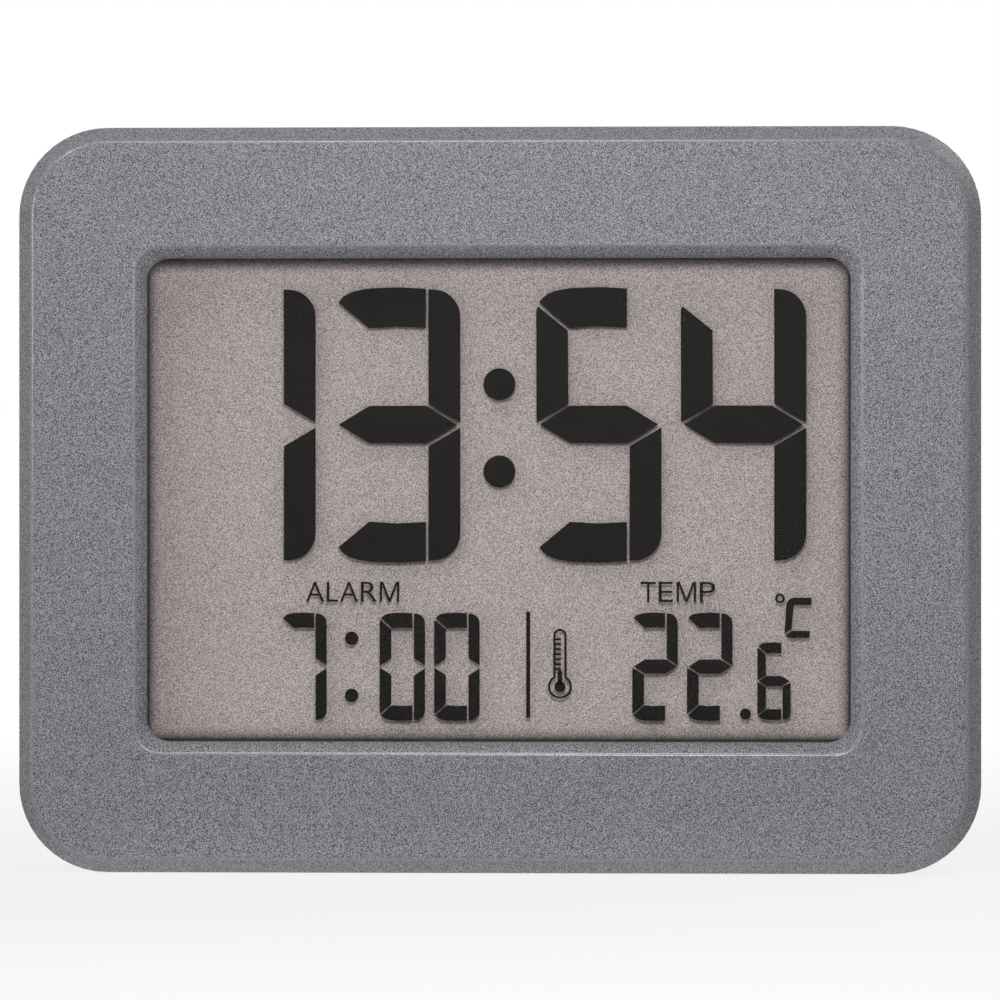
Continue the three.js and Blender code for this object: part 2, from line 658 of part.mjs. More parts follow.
// Display: window, gasket and the sheets of the liquid crystal cell, with the holder behind
function displayPieces() {
  const sheet = (size, { front, back }) => slab(rectPoints(size, sheetCorner), front, back);
  const gasketHole = rectPoints(grown(opening, gasketSheet.margin), bevel.corner + gasketSheet.margin);
  const gasket = slab(windowOutline(), sheets.gasket.front, sheets.gasket.back, [gasketHole]);
  return [
    piece("display_window", slab(windowOutline(), sheets.window.front, sheets.window.back), "clear"),
    piece("window_gasket", gasket, "gasketBlack"),
    piece("front_polariser", sheet(grown(opening, polariserSheet.margin), sheets.polariser), "clear"),
    piece("lcd_front_glass", sheet(frontGlass, sheets.frontGlass), "glassClear"),
    piece("segment_layer", segmentLayer(), "segmentBlack"),
    piece("lcd_rear_glass", sheet(rearGlass, sheets.rearGlass), "glassClear"),
    piece("reflector_film", sheet(grown(opening, reflectorSheet.margin), sheets.reflector), "reflector"),
    piece("contact_strip_upper", contactStrip(1), "stripGrey"),
    piece("contact_strip_lower", contactStrip(-1), "stripGrey"),
    piece("lcd_holder", lcdHolder(), "holderWhite"),
  ];
}

// Rubber strip from the ledge of the front glass back to the board
function contactStrip(side) {
  const y = (side * (frontGlass.height + rearGlass.height)) / 4;
  const length = frontGlass.width - strip.shorter;
  return block(0, y, length, strip.width, sheets.frontGlass.back + fit.sheet, board.front - fit.sheet);
}

// Frame round the glass with a floor behind the reflector, open above and below for the strips
function lcdHolder() {
  const inner = rectPoints(grown(frontGlass, fit.slide), sheetCorner);
  const outer = rectPoints(holderOuter, holder.corner);
  const wall = slab(outer, sheets.polariser.front, board.front - fit.sheet, [inner]);
  const floorFront = sheets.reflector.back + fit.sheet;
  const floorSize = { width: holderOuter.width - holder.wall, height: rearGlass.height };
  const hole = rectPoints({ width: holder.windowWidth, height: holder.windowHeight }, holder.corner);
  return join(wall, slab(rectPoints(floorSize, sheetCorner), floorFront, floorFront + holder.floor, [hole]));
}

// Thin film that carries the raised digits and signs
function segmentLayer() {
  const { front, back } = sheets.segments;
  const filmFront = front + segmentSheet.relief;
  const film = slab(rectPoints(grown(opening, segmentSheet.margin), sheetCorner), filmFront, back);
  const raise = (points, holes = []) => slab(points, front, filmFront + segmentSheet.film / 2, holes);
  const digits = digitRows.flatMap(({ style, y, digits: row }) =>
    row.flatMap(([digit, x]) => digitOutlines(digit, style, x, y)),
  );
  const degreeHole = circlePoints(degree.radius - degree.line, degree.x, degree.y);
  const signs = [
    ...digits.map((outline) => raise(outline)),
    ...dots.map(({ x, y, radius }) => raise(circlePoints(radius, x, y))),
    raise(rectPoints(divider, divider.corner, divider.x, divider.y)),
    raise(circlePoints(degree.radius, degree.x, degree.y), [degreeHole]),
    raise(letterC()),
    raise(thermometerOutline(0), [thermometerOutline(thermometer.line)]),
    raise(circlePoints(thermometer.filling, thermometer.x, thermometer.bulbY)),
  ];
  return join(film, ...signs);
}

// Outlines of the lit bars of one digit
function digitOutlines(digit, style, x, y) {
  const bars = digitBars(style);
  const place = new THREE.Vector2(x, y);
  return [...litBars[digit]].map((name) => bars[name].map((point) => point.clone().add(place)));
}

// The seven bars of a digit about its middle; the lower bars mirror the upper ones
function digitBars(style) {
  const outlines = [topBar, rightBar, leftBar, middleBar].map((bar) => bar(style).getPoints(arcSteps.small));
  const [top, right, left, middle] = outlines;
  const mirrored = (outline) => outline.map(({ x, y }) => new THREE.Vector2(x, -y)).reverse();
  return { a: top, b: right, c: mirrored(right), d: mirrored(top), e: mirrored(left), f: left, g: middle };
}

// Upper bar, crowned, with a slanted left end and a square right end
function topBar({ width, height, stroke, bar, gap, crown, tip }) {
  const high = height / 2;
  const inner = width / 2 - stroke;
  const end = inner - gap;
  const tipX = gap - width / 2;
  const outline = new THREE.Shape();
  outline.moveTo(end, high - crown);
  outline.quadraticCurveTo(end / 2, high, 0, high);
  outline.quadraticCurveTo(tipX + tip - gap, high, tipX, high - tip);
  outline.lineTo(-inner, high - bar);
  outline.quadraticCurveTo(0, high - bar + crown, end, high - bar);
  return outline;
}

// Upper right bar with a rounded shoulder and a mitred foot
function rightBar({ width, height, stroke, bar, gap, shoulder: drop, crown, mitre }) {
  const high = height / 2;
  const right = width / 2;
  const inner = right - stroke;
  const outline = new THREE.Shape();
  outline.moveTo(inner, high - crown);
  outline.lineTo(inner, bar / 2 + mitre);
  outline.lineTo(right, mitre);
  outline.lineTo(right, high - drop);
  outline.quadraticCurveTo(right - gap, high - 2 * crown, inner, high - crown);
  return outline;
}

// Upper left bar with a slanted head and a mitred foot
function leftBar({ width, height, stroke, bar, gap, tip, mitre }) {
  const high = height / 2;
  const left = -width / 2;
  const inner = left + stroke;
  const drop = gap + mitre / 2;
  const outline = new THREE.Shape();
  outline.moveTo(left + gap, high - tip - drop);
  outline.lineTo(left, high - tip - 2 * drop);
  outline.lineTo(left, mitre);
  outline.lineTo(inner, bar / 2 + mitre);
  outline.lineTo(inner, high - bar - drop);
  return outline;
}

// Middle bar, pointed at both ends
function middleBar({ width, stroke, bar, gap }) {
  const point = width / 2 - 2 * gap;
  const end = width / 2 - stroke - gap;
  const outline = new THREE.Shape();
  outline.moveTo(point, 0);
  outline.lineTo(end, bar / 2);
  outline.lineTo(-end, bar / 2);
  outline.lineTo(-point, 0);
  outline.lineTo(-end, -bar / 2);
  outline.lineTo(end, -bar / 2);
  return outline;
}

// Letter of the temperature scale, as three straight strokes
function letterC() {
  const { x, y, width, height, line } = scaleLetter;
  const [left, right, low, high] = [x - width / 2, x + width / 2, y - height / 2, y + height / 2];
  const outline = [
    [left, low], [right, low], [right, low + line], [left + line, low + line],
    [left + line, high - line], [right, high - line], [right, high], [left, high],
  ];
  return outline.map(([px, py]) => new THREE.Vector2(px, py));
}

// Tube with a round top that runs into a bulb
function thermometerOutline(inset) {
  const { x, top, bulbY, tube, bulb } = thermometer;
  const meet = Math.asin((tube - inset) / (bulb - inset));
  const outline = new THREE.Shape();
  outline.absarc(x, top - tube, tube - inset, 0, Math.PI, false);
  outline.absarc(x, bulbY, bulb - inset, Math.PI / 2 + meet, Math.PI * 2.5 - meet, false);
  return outline.getPoints(arcSteps.small);
}

// Circuit board, its screws and the parts soldered to it
function boardPieces() {
  const screws = corners(boardPostPlace).map((place, i) =>
    piece(`board_screw_${i + 1}`, screw(boardScrew, place, boardBack), "tin"),
  );
  const canLeft = crystal.x - crystal.length / 2;
  const can = axle(crystal.radius, crystal.y, partSeat + crystal.radius, canLeft, canLeft + crystal.length);
  const drumLow = capacitor.y - capacitor.length / 2;
  const drumDepth = partSeat + capacitor.radius;
  const drum = post(capacitor.radius, capacitor.x, drumDepth, drumLow, drumLow + capacitor.length);
  const { x, y, width, thickness, height } = ceramicBlock;
  return [
    piece("circuit_board", circuitBoard(), "boardGreen"),
    piece("driver_chip", turned(chipOutline(), chip.x, chip.y, sides.round), "resinBlack"),
    piece("quartz_crystal", can, "tin"),
    piece("filter_capacitor", drum, "switchBlack"),
    piece("bypass_capacitor", block(x, y, width, thickness, partSeat, partSeat + height), "sensorBrown"),
    piece("temperature_sensor", turned(sensorOutline(), sensor.x, sensor.y), "sensorBrown"),
    ...screws,
  ];
}

// Board with holes for its screws and notches round the pillars
function circuitBoard() {
  const holes = corners(boardPostPlace).map(([x, y]) => circlePoints(boardPost.clearHole, x, y));
  const plate = slab(rectPoints(boardSize, sheetCorner), board.front, boardBack, holes);
  const reach = pillar.radius + board.notchGap;
  const notches = corners(pillarPlace).map(([x, y]) => {
    const far = [Math.sign(x) * shell.width, Math.sign(y) * shell.height];
    const near = [x - Math.sign(x) * reach, y - Math.sign(y) * reach];
    const width = Math.abs(far[0] - near[0]);
    const height = Math.abs(far[1] - near[1]);
    return block((far[0] + near[0]) / 2, (far[1] + near[1]) / 2, width, height, board.front - past, partSeat);
  });
  return cut(plate, ...notches);
}

// Drop of resin over the chip: a short edge with a quarter ellipse above it
function chipOutline() {
  const base = partSeat + chip.edge;
  const dome = Array.from({ length: arcSteps.small }, (_, i) => {
    const angle = (i / arcSteps.small) * (Math.PI / 2);
    return [chip.radius * Math.cos(angle), base + chip.rise * Math.sin(angle)];
  });
  return [[0, partSeat], [chip.radius, partSeat], ...dome, [0, base + chip.rise]];
}

// Bead of the temperature sensor on its stalk
function sensorOutline() {
  const top = partSeat + sensor.height;
  return [
    [0, partSeat],
    [sensor.stalk, partSeat],
    [sensor.stalk, top - 2 * sensor.bead],
    [sensor.bead, top - sensor.bead],
    [sensor.stalk, top],
    [0, top],
  ];
}

// Buzzer disc on its ring behind the sound holes, with its two leads to the board
function buzzerPieces() {
  const { x, y, radius } = buzzer;
  const plateBack = backInside - buzzerRing.height - fit.sheet;
  const plateFront = plateBack - buzzer.plate;
  const ceramicBack = plateFront - fit.sheet;
  const ceramicFront = ceramicBack - buzzer.ceramic;
  const solder = fit.seat + lead.radius;
  const landing = partSeat + fit.sheet;
  const rimLead = [
    [x + radius - 4, y - 2, plateFront - solder],
    [x + radius + 1, y - 3, plateFront - 3],
    [x + radius + 3, y - 5, partSeat + 4],
    [x + radius + 3, y - 5, landing],
  ];
  const middleLead = [
    [x + 3, y - 4, ceramicFront - solder],
    [x + 9, y - 6, ceramicFront - 3],
    [x + radius - 1, y - 7, partSeat + 4],
    [x + radius - 1, y - 7, landing],
  ];
  const ceramic = rod(buzzer.ceramicRadius, x, y, ceramicFront, ceramicBack, sides.large);
  return [
    piece("buzzer_plate", rod(radius, x, y, plateFront, plateBack, sides.large), "brass"),
    piece("buzzer_ceramic", ceramic, "ceramicPale"),
    piece("buzzer_lead_rim", leadAlong(rimLead), "leadBlack"),
    piece("buzzer_lead_middle", leadAlong(middleLead), "leadRed"),
  ];
}

// Two cells head to tail, their contact plates, springs and leads
function powerPieces() {
  const leftX = bay.x - cellPitch / 2;
  const rightX = bay.x + cellPitch / 2;
  const plateLow = bayBottom + fit.sheet;
  const plateHigh = bayTop - fit.sheet - contact.thickness;
  const leftBottom = plateHigh - fit.seat - cell.length;
  const rightTop = plateLow + contact.thickness + fit.seat + cell.length;
  const clear = fit.seat + spring.wire;
  const lowSpring = springBetween(leftX, plateLow + contact.thickness + clear, leftBottom - clear);
  const highSpring = springBetween(rightX, plateHigh - clear, rightTop + clear);
  return [
    piece("battery_left", batteryCell(leftX, leftBottom, 1), "cellSleeve"),
    piece("battery_right", batteryCell(rightX, rightTop, -1), "cellSleeve"),
    piece("link_plate", contactPlate(bay.x, plateHigh, cellPitch + contact.width), "tin"),
    piece("negative_plate", join(contactPlate(leftX, plateLow, contact.width), solderTab(leftX)), "tin"),
    piece("positive_plate", join(contactPlate(rightX, plateLow, contact.width), solderTab(rightX)), "tin"),
    piece("negative_spring", lowSpring, "tin"),
    piece("link_spring", highSpring, "tin"),
    piece("battery_lead_black", batteryLead(leftX), "leadBlack"),
    piece("battery_lead_red", batteryLead(rightX), "leadRed"),
  ];
}

// Cell that stands on its flat end, or hangs from it when the direction is down
function batteryCell(x, start, direction) {
  const { radius, length, nubRadius, nubHeight, edge } = cell;
  const shoulderEnd = length - nubHeight;
  const profile = [
    [0, 0],
    [radius - edge, 0],
    [radius, edge],
    [radius, shoulderEnd - edge],
    [radius - edge, shoulderEnd],
    [nubRadius, shoulderEnd],
    [nubRadius, length],
    [0, length],
  ].map(([across, along]) => new THREE.Vector2(across, along));
  const geometry = new THREE.LatheGeometry(profile, sides.round);
  if (direction < 0) geometry.rotateX(Math.PI);
  geometry.translate(x, start, -cellDepth);
  return solid(geometry);
}

function contactPlate(x, bottom, width) {
  const front = cellDepth - contact.height / 2;
  return block(x, bottom + contact.thickness / 2, width, contact.thickness, front, front + contact.height);
}

// Tab of a lower contact plate, out through the wall of the bay
function solderTab(x) {
  const low = bayBottom - bay.wall - tab.reach;
  const high = bayBottom + fit.sheet + contact.thickness;
  const front = cellDepth - tab.offset - tab.thickness / 2;
  return block(x, (low + high) / 2, tab.width, high - low, front, front + tab.thickness);
}

// Cone of wire, wide at the contact plate and narrow at the cell
class ConeSpring extends THREE.Curve {
  constructor(x, start, end) {
    super();
    this.x = x;
    this.start = start;
    this.end = end;
  }

  getPoint(t, target = new THREE.Vector3()) {
    const angle = t * spring.turns * Math.PI * 2;
    const radius = spring.wideRadius + (spring.narrowRadius - spring.wideRadius) * t;
    const y = this.start + (this.end - this.start) * t;
    return target.set(this.x + radius * Math.cos(angle), y, -cellDepth + radius * Math.sin(angle));
  }
}

function springBetween(x, start, end) {
  const curve = new ConeSpring(x, start, end);
  const steps = spring.turns * spring.stepsPerTurn;
  const gap = leastGap(curve.getSpacedPoints(steps));
  console.log(`battery spring: least gap between turns ${gap.toFixed(2)} mm`);
  return wire(curve, spring.wire, steps, spring.sides);
}

// Least free space between points that lie at least half a turn apart along the wire
function leastGap(points) {
  const apart = spring.stepsPerTurn / 2;
  let least = Infinity;
  for (let i = 0; i < points.length; i += 1) {
    for (let j = i + apart; j < points.length; j += 1) {
      least = Math.min(least, points[i].distanceTo(points[j]));
    }
  }
  return least - 2 * spring.wire;
}

// Lead from the solder tab of a contact plate to the board
function batteryLead(x) {
  const along = cellDepth - tab.offset + tab.thickness / 2 + fit.seat + lead.radius;
  const tabEnd = bayBottom - bay.wall - tab.reach;
  return leadAlong([
    [x, tabEnd + 1.5, along],
    [x, tabEnd - 0.5, along],
    [x - 1, tabEnd - 2.5, partSeat + 2.5],
    [x - 1, tabEnd - 2.5, partSeat + fit.sheet],
  ]);
}

// Rear key with its flange and stem, the switch on the board and the plunger between them
function keyPieces({ name, y }) {
  const { x } = keyPanel;
  const outside = caseDepth - rearKey.sink;
  const flangeBack = panelInside - fit.seat;
  const flangeFront = flangeBack - keyFlange.thickness;
  const bodyBack = partSeat + keySwitch.height;
  const wellFront = bodyBack - keySwitch.well;
  const plungerFront = wellFront + keyTravel + fit.guide;
  const plungerBack = bodyBack + keySwitch.plungerRise;
  const capSteps = [[flangeFront, 0], [outside - rearKey.edge, 0], [outside, rearKey.edge]];
  const cap = loft({ ...grown(rearKey, 0), corner: rearKey.corner, x, y }, capSteps);
  const flange = slab(keyOutline(y, keyFlange.reach), flangeFront, flangeBack);
  const stem = rod(rearKey.stem, x, y, plungerBack + fit.sheet, flangeFront + bite, sides.small);
  const body = block(x, y, keySwitch.size, keySwitch.size, partSeat, bodyBack);
  const well = rod(keySwitch.plunger + fit.guide, x, y, wellFront, bodyBack + past, sides.small);
  return [
    piece(`${name}_key`, join(cap, flange, stem), "keyGrey"),
    piece(`${name}_switch`, cut(body, well), "switchBlack"),
    piece(`${name}_plunger`, rod(keySwitch.plunger, x, y, plungerFront, plungerBack, sides.small), "keyGrey"),
  ];
}

// Snooze bar in the top of the rear cover, its switch and the plunger between them
function snoozePieces() {
  const barTop = shell.height / 2 + snooze.proud;
  const flangeTop = topInside - fit.seat;
  const flangeLow = flangeTop - snoozeFlange.thickness;
  const lower = upright(snoozeOutline(0), flangeLow, barTop - snooze.edge);
  const upper = upright(snoozeOutline(-snooze.edge), flangeLow, barTop);
  const flange = upright(snoozeOutline(snoozeFlange.reach), flangeLow, flangeTop);
  const switchTop = topInside - snoozeSwitchDrop;
  const switchBack = partSeat + snoozeSwitch.length;
  const middle = (partSeat + switchBack) / 2;
  const wellLow = switchTop - snoozeSwitch.well;
  const plungerLow = wellLow + keyTravel + fit.guide;
  const plungerTop = switchTop + snoozeSwitch.plungerRise;
  const stemLow = plungerTop + fit.sheet;
  const stemHeight = flangeLow + bite - stemLow;
  const stemFront = middle - snoozeStem.length / 2;
  const stemBack = middle + snoozeStem.length / 2;
  const stem = block(0, stemLow + stemHeight / 2, snoozeStem.width, stemHeight, stemFront, stemBack);
  const bodyY = switchTop - snoozeSwitch.height / 2;
  const body = block(0, bodyY, snoozeSwitch.width, snoozeSwitch.height, partSeat, switchBack);
  const well = post(snoozeSwitch.plunger + fit.guide, 0, middle, wellLow, switchTop + past);
  return [
    piece("snooze_bar", join(lower, upper, flange, stem), "caseGrey"),
    piece("snooze_switch", cut(body, well), "switchBlack"),
    piece("snooze_plunger", post(snoozeSwitch.plunger, 0, middle, plungerLow, plungerTop), "keyGrey"),
  ];
}

// Alarm slider at its off end, with the fork that carries the lever of the switch
function alarmPieces() {
  const x = keyPanel.x - slider.travel / 2;
  const { y } = slider;
  const outside = caseDepth - rearKey.sink;
  const flangeBack = panelInside - fit.seat;
  const flangeFront = flangeBack - sliderFlange.thickness;
  const bodyBack = partSeat + slideSwitch.depth;
  const slotFront = bodyBack - slideSwitch.slotDepth;
  const leverBack = bodyBack + lever.rise;
  const forkFront = bodyBack + sliderFork.gap;
  const roomWidth = lever.width + 2 * fit.slide;
  const roomHeight = slider.height + past;
  const knob = block(x, y, slider.width, slider.height, flangeFront + bite, outside);
  const flange = block(x, y, sliderFlange.width, sliderFlange.height, flangeFront, flangeBack);
  const fork = block(x, y, sliderFork.width, slider.height, forkFront, flangeFront + bite);
  const leverRoom = block(x, y, roomWidth, roomHeight, forkFront - past, leverBack + fit.slide);
  const grooves = spread(sliderGrip.count, sliderGrip.pitch).map((offset) =>
    block(x + offset, y, sliderGrip.width, roomHeight, outside - sliderGrip.depth, outside + past),
  );
  const body = block(keyPanel.x, y, slideSwitch.width, slideSwitch.height, partSeat, bodyBack);
  const slotHeight = lever.height + 2 * fit.slide;
  const slot = block(keyPanel.x, y, roomWidth + slider.travel, slotHeight, slotFront, bodyBack + past);
  return [
    piece("alarm_slider", cut(join(knob, flange, fork), leverRoom, ...grooves), "keyGrey"),
    piece("alarm_switch", cut(body, slot), "switchBlack"),
    piece("alarm_lever", block(x, y, lever.width, lever.height, slotFront + fit.guide, leverBack), "keyGrey"),
  ];
}

// A named group of pieces
function group(name, pieces) {
  const whole = new THREE.Group();
  whole.name = name;
  whole.add(...pieces);
  return whole;
}

// The upright clock: its foot on the ground, its display towards -Y
function alarmClock() {
  const face = group("face_frame", [
    group("case", casePieces()),
    group("display", displayPieces()),
    group("board", boardPieces()),
    group("buzzer", buzzerPieces()),
    group("power", powerPieces()),
    group("controls", [...rearKeys.flatMap(keyPieces), ...snoozePieces(), ...alarmPieces()]),
  ]);
  face.rotation.x = Math.PI / 2;
  face.position.set(0, -caseDepth / 2, shell.height / 2);
  return group("alarm_clock", [face]);
}

export default alarmClock();
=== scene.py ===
"""Visual model of an upright digital alarm clock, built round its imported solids.

Sizes are millimetres in the face frame: x to the right and y up from the middle of the face, and depth from
the front face towards the back, which is minus z while a piece is in work. Finished meshes are in metres, in
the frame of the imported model.
"""

import logging
import math
from collections.abc import Sequence
from dataclasses import astuple, dataclass, field
from enum import Enum, IntEnum
from functools import cache
from typing import Protocol

import bmesh
import bpy
from bmesh.types import BMEdge, BMesh, BMFace, BMVert
from bpy.types import Curve, Material, Node, NodeSocket, NodeTree, Object
from mathutils import Matrix, Vector


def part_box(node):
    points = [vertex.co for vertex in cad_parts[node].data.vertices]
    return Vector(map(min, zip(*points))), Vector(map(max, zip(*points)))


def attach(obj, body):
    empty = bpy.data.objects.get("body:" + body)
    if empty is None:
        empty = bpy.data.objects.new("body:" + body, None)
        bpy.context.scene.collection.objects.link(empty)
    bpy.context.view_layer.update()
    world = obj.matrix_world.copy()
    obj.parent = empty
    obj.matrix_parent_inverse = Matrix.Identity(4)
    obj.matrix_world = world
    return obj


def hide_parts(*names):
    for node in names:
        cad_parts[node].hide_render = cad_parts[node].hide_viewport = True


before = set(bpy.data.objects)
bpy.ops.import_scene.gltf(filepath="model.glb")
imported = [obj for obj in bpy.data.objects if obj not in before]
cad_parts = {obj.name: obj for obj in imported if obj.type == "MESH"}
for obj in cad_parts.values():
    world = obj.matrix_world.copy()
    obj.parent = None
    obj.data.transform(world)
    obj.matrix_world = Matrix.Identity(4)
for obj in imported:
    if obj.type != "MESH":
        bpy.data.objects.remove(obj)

LOG = logging.getLogger("alarm_clock")
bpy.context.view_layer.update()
MM = 0.001
STILL = Matrix.Identity(4)
FACING_BACK = Matrix.Rotation(math.pi, 4, "Y")
ALONG_X = Matrix.Rotation(math.pi / 2, 4, "Y")
ALONG_Y = Matrix.Rotation(-math.pi / 2, 4, "X")

# Points closer than a weld become one, and an edge closer than NEAR to a height lies at it, in millimetres
WELD = 0.001
FINE_WELD = 0.0005
NEAR = 0.01

# Least radius of a corner, and least length of a step or a flat, in millimetres
LEAST_CORNER = 0.02
LEAST_STEP = 0.004

# Where most of a cloudy pattern lies, and the turn that keeps it off the axes of the clock
NOISE_SPAN = (0.3, 0.7)
NOISE_TURN = (0.5, 0.7, 0.3)

Colour = tuple[float, float, float]
Point = tuple[float, float]
Profile = Sequence[Point]
Source = NodeSocket | float | tuple[float, ...]


class Body(Enum):
    """Bodies of the clock that move against each other."""

    CASE = "case"
    SNOOZE = "snooze"
    MODE = "mode"
    PLUS = "plus"
    MINUS = "minus"
    ALARM = "alarm"
    STAND = "stand"
    DOOR = "door"


class Join(Enum):
    """Ways to join one solid with another."""

    ADD = "UNION"
    CUT = "DIFFERENCE"


class Round(Enum):
    """What a rounding works on."""

    CORNERS = "VERTICES"
    EDGES = "EDGES"


class Bar(Enum):
    """Bars of a seven-bar digit, as letters from the top round to the middle."""

    TOP = "a"
    UPPER_RIGHT = "b"
    LOWER_RIGHT = "c"
    BOTTOM = "d"
    LOWER_LEFT = "e"
    UPPER_LEFT = "f"
    MIDDLE = "g"


class FrameFinish(IntEnum):
    """Places of the frame's special finishes in its list."""

    POLISHED = 1
    SATIN = 2


# Places that the rear cover shares with what it carries
BAY_X = 35.25
BAY_Y = -8.5
CELL_X = 5.6
HOOK_X = 2.4
PANEL_X = -35.0
PANEL_FLOOR = 25.8
KEY_YS = {Body.MODE: 6.0, Body.PLUS: -5.0, Body.MINUS: -16.0}
SLIDER_Y = -28.0
SNOOZE_DEPTH = 16.0
HINGE_Y = 6.0


def tone(red: int, green: int, blue: int) -> Colour:
    """Turns a colour as seen on a screen, each part from 0 to 255, into a linear one from 0 to 1."""
    parts = [part / 255 for part in (red, green, blue)]
    return tuple(part / 12.92 if part <= 0.04045 else ((part + 0.055) / 1.055) ** 2.4 for part in parts)


def grey(level: float) -> Colour:
    """Gives a neutral linear colour."""
    return (level, level, level)


def scaled(colour: Colour, share: float) -> Colour:
    """Makes a linear colour darker, or lighter up to white."""
    return tuple(min(part * share, 1.0) for part in colour)


def face_to_row() -> Matrix:
    """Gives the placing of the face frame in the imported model's frame.

    Returns:
        The matrix from millimetres in the face frame to metres in the model's frame.
    """
    low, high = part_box("front_case")
    middle = Matrix.Translation((0.0, low.y, (low.z + high.z) / 2))
    return middle @ Matrix.Rotation(math.pi / 2, 4, "X") @ Matrix.Scale(MM, 4)


def span(node: str) -> tuple[Vector, Vector]:
    """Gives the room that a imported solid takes.

    Args:
        node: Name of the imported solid.

    Returns:
        Its lowest and highest x, y and depth, in millimetres of the face frame.
    """
    low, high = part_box(node)
    front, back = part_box("front_case")
    middle = (front.z + back.z) / 2
    ends = [(end.x / MM, (end.z - middle) / MM, (end.y - front.y) / MM) for end in (low, high)]
    return Vector(ends[0]), Vector(ends[1])


def bend(start: Point, corner: Point, end: Point, steps: int = 6) -> list[Point]:
    """Rounds a corner of a profile.

    Args:
        start: Point of the profile where the rounding starts.
        corner: The sharp corner.
        end: Point of the profile where the rounding ends.
        steps: Number of short straight steps.

    Returns:
        The points of the rounded corner, with both ends.
    """
    points = []
    for i in range(steps + 1):
        t = i / steps
        shares = ((1 - t) ** 2, 2 * t * (1 - t), t**2)
        points.append(tuple(sum(s * p[k] for s, p in zip(shares, (start, corner, end))) for k in (0, 1)))
    return points


def straight(front: float, back: float) -> Profile:
    """Gives the profile of a straight block between two levels."""
    return [(front, 0.0), (back, 0.0)]


def slab(front: float, back: float, edge: float) -> Profile:
    """Gives the profile of a block between two levels with both its rims cut off aslant."""
    return [(front, -edge), (front + edge, 0.0), (back - edge, 0.0), (back, -edge)]


def flare(mouth: float, floor: float, lip: float, steps: int = 4) -> Profile:
    """Gives the profile of a cutter that leaves a rounded lip at the mouth of its hole.

    Args:
        mouth: Level of the surface that the hole opens in.
        floor: Level of the hole's floor, or past the far side of the wall.
        lip: Radius of the rounded lip.
        steps: Number of straight steps round the lip.

    Returns:
        Levels with how far the cutter is grown there.
    """
    out = math.copysign(1.0, mouth - floor)
    angles = [math.pi / 2 * i / steps for i in range(steps + 1)]
    rounding = [(mouth - out * lip * (1 - math.cos(a)), lip * (1 - math.sin(a))) for a in angles]
    return [(mouth + out, lip), *rounding, (floor, 0.0)]


def apart(levels: Sequence[float]) -> list[float]:
    """Keeps rings that follow each other out of one plane, where their skin could twist.

    Args:
        levels: Levels of the rings.

    Returns:
        The levels, some moved a little.
    """
    kept = list(levels[:1])
    for level in levels[1:]:
        kept.append(level if abs(level - kept[-1]) >= LEAST_STEP else kept[-1] + LEAST_STEP)
    return kept


def soften(bm: BMesh, geom: Sequence[BMVert | BMEdge], size: float, steps: int, what: Round) -> list[BMVert]:
    """Rounds corners or edges of a mesh.

    Args:
        bm: Mesh in work.
        geom: The corners or edges.
        size: How far from the corner or edge the rounding starts.
        steps: Number of steps in it.
        what: Whether corners or edges are rounded.

    Returns:
        The points of the rounding.
    """
    made = bmesh.ops.bevel(
        bm, geom=geom, offset=size, offset_type="OFFSET", segments=steps,
        profile=0.5, affect=what.value, material=-1,
    )
    return made["verts"]


def lies_at(edge: BMEdge, y: float) -> bool:
    """Tells whether both ends of an edge are at a height."""
    return all(abs(vert.co.y - y) < NEAR for vert in edge.verts)


class Shape(Protocol):
    """A closed outline that a solid can be lofted from."""

    def ring(self, bm: BMesh, level: float, grow: float, place: Matrix) -> list[BMEdge]:
        """Adds the outline to a mesh as a ring of edges."""


# An outline with its level and how far it is grown there
Ring = tuple[Shape, float, float]


@dataclass(frozen=True)
class Outline:
    """A rectangle with round corners."""

    width: float
    height: float
    corner: float
    x: float = 0.0
    y: float = 0.0
    steps: int = 6

    def ring(self, bm: BMesh, level: float, grow: float, place: Matrix) -> list[BMEdge]:
        """Adds the outline to a mesh as a ring of edges.

        Args:
            bm: Mesh in work.
            level: Level of the ring, along minus z of the placing.
            grow: How far the outline is grown on every side.
            place: Placing of the outline.

        Returns:
            The edges of the ring.
        """
        width, height = self.width + 2 * grow, self.height + 2 * grow
        corner = min(max(self.corner + grow, LEAST_CORNER), min(width, height) / 2 - LEAST_STEP)
        flat = Matrix.Translation((self.x, self.y, -level)) @ Matrix.Diagonal((width, height, 1.0, 1.0))
        made = bmesh.ops.create_grid(bm, x_segments=1, y_segments=1, size=0.5, matrix=place @ flat)
        face = soften(bm, made["verts"], corner, self.steps, Round.CORNERS)[0].link_faces[0]
        edges = list(face.edges)
        bm.faces.remove(face)
        return edges


@dataclass(frozen=True)
class Disc:
    """A circle."""

    radius: float
    x: float = 0.0
    y: float = 0.0
    steps: int = 32

    def ring(self, bm: BMesh, level: float, grow: float, place: Matrix) -> list[BMEdge]:
        """Adds the circle to a mesh as a ring of edges.

        Args:
            bm: Mesh in work.
            level: Level of the ring, along minus z of the placing.
            grow: How far the radius is grown.
            place: Placing of the circle.

        Returns:
            The edges of the ring.
        """
        spot = place @ Matrix.Translation((self.x, self.y, -level))
        made = bmesh.ops.create_circle(
            bm, cap_ends=False, segments=self.steps, radius=self.radius + grow, matrix=spot,
        )
        return list(dict.fromkeys(edge for vert in made["verts"] for edge in vert.link_edges))


@dataclass(frozen=True)
class Corner:
    """A corner of a flat plate, with how far back along its sides it is rounded."""

    x: float
    y: float
    rounding: float = 0.0


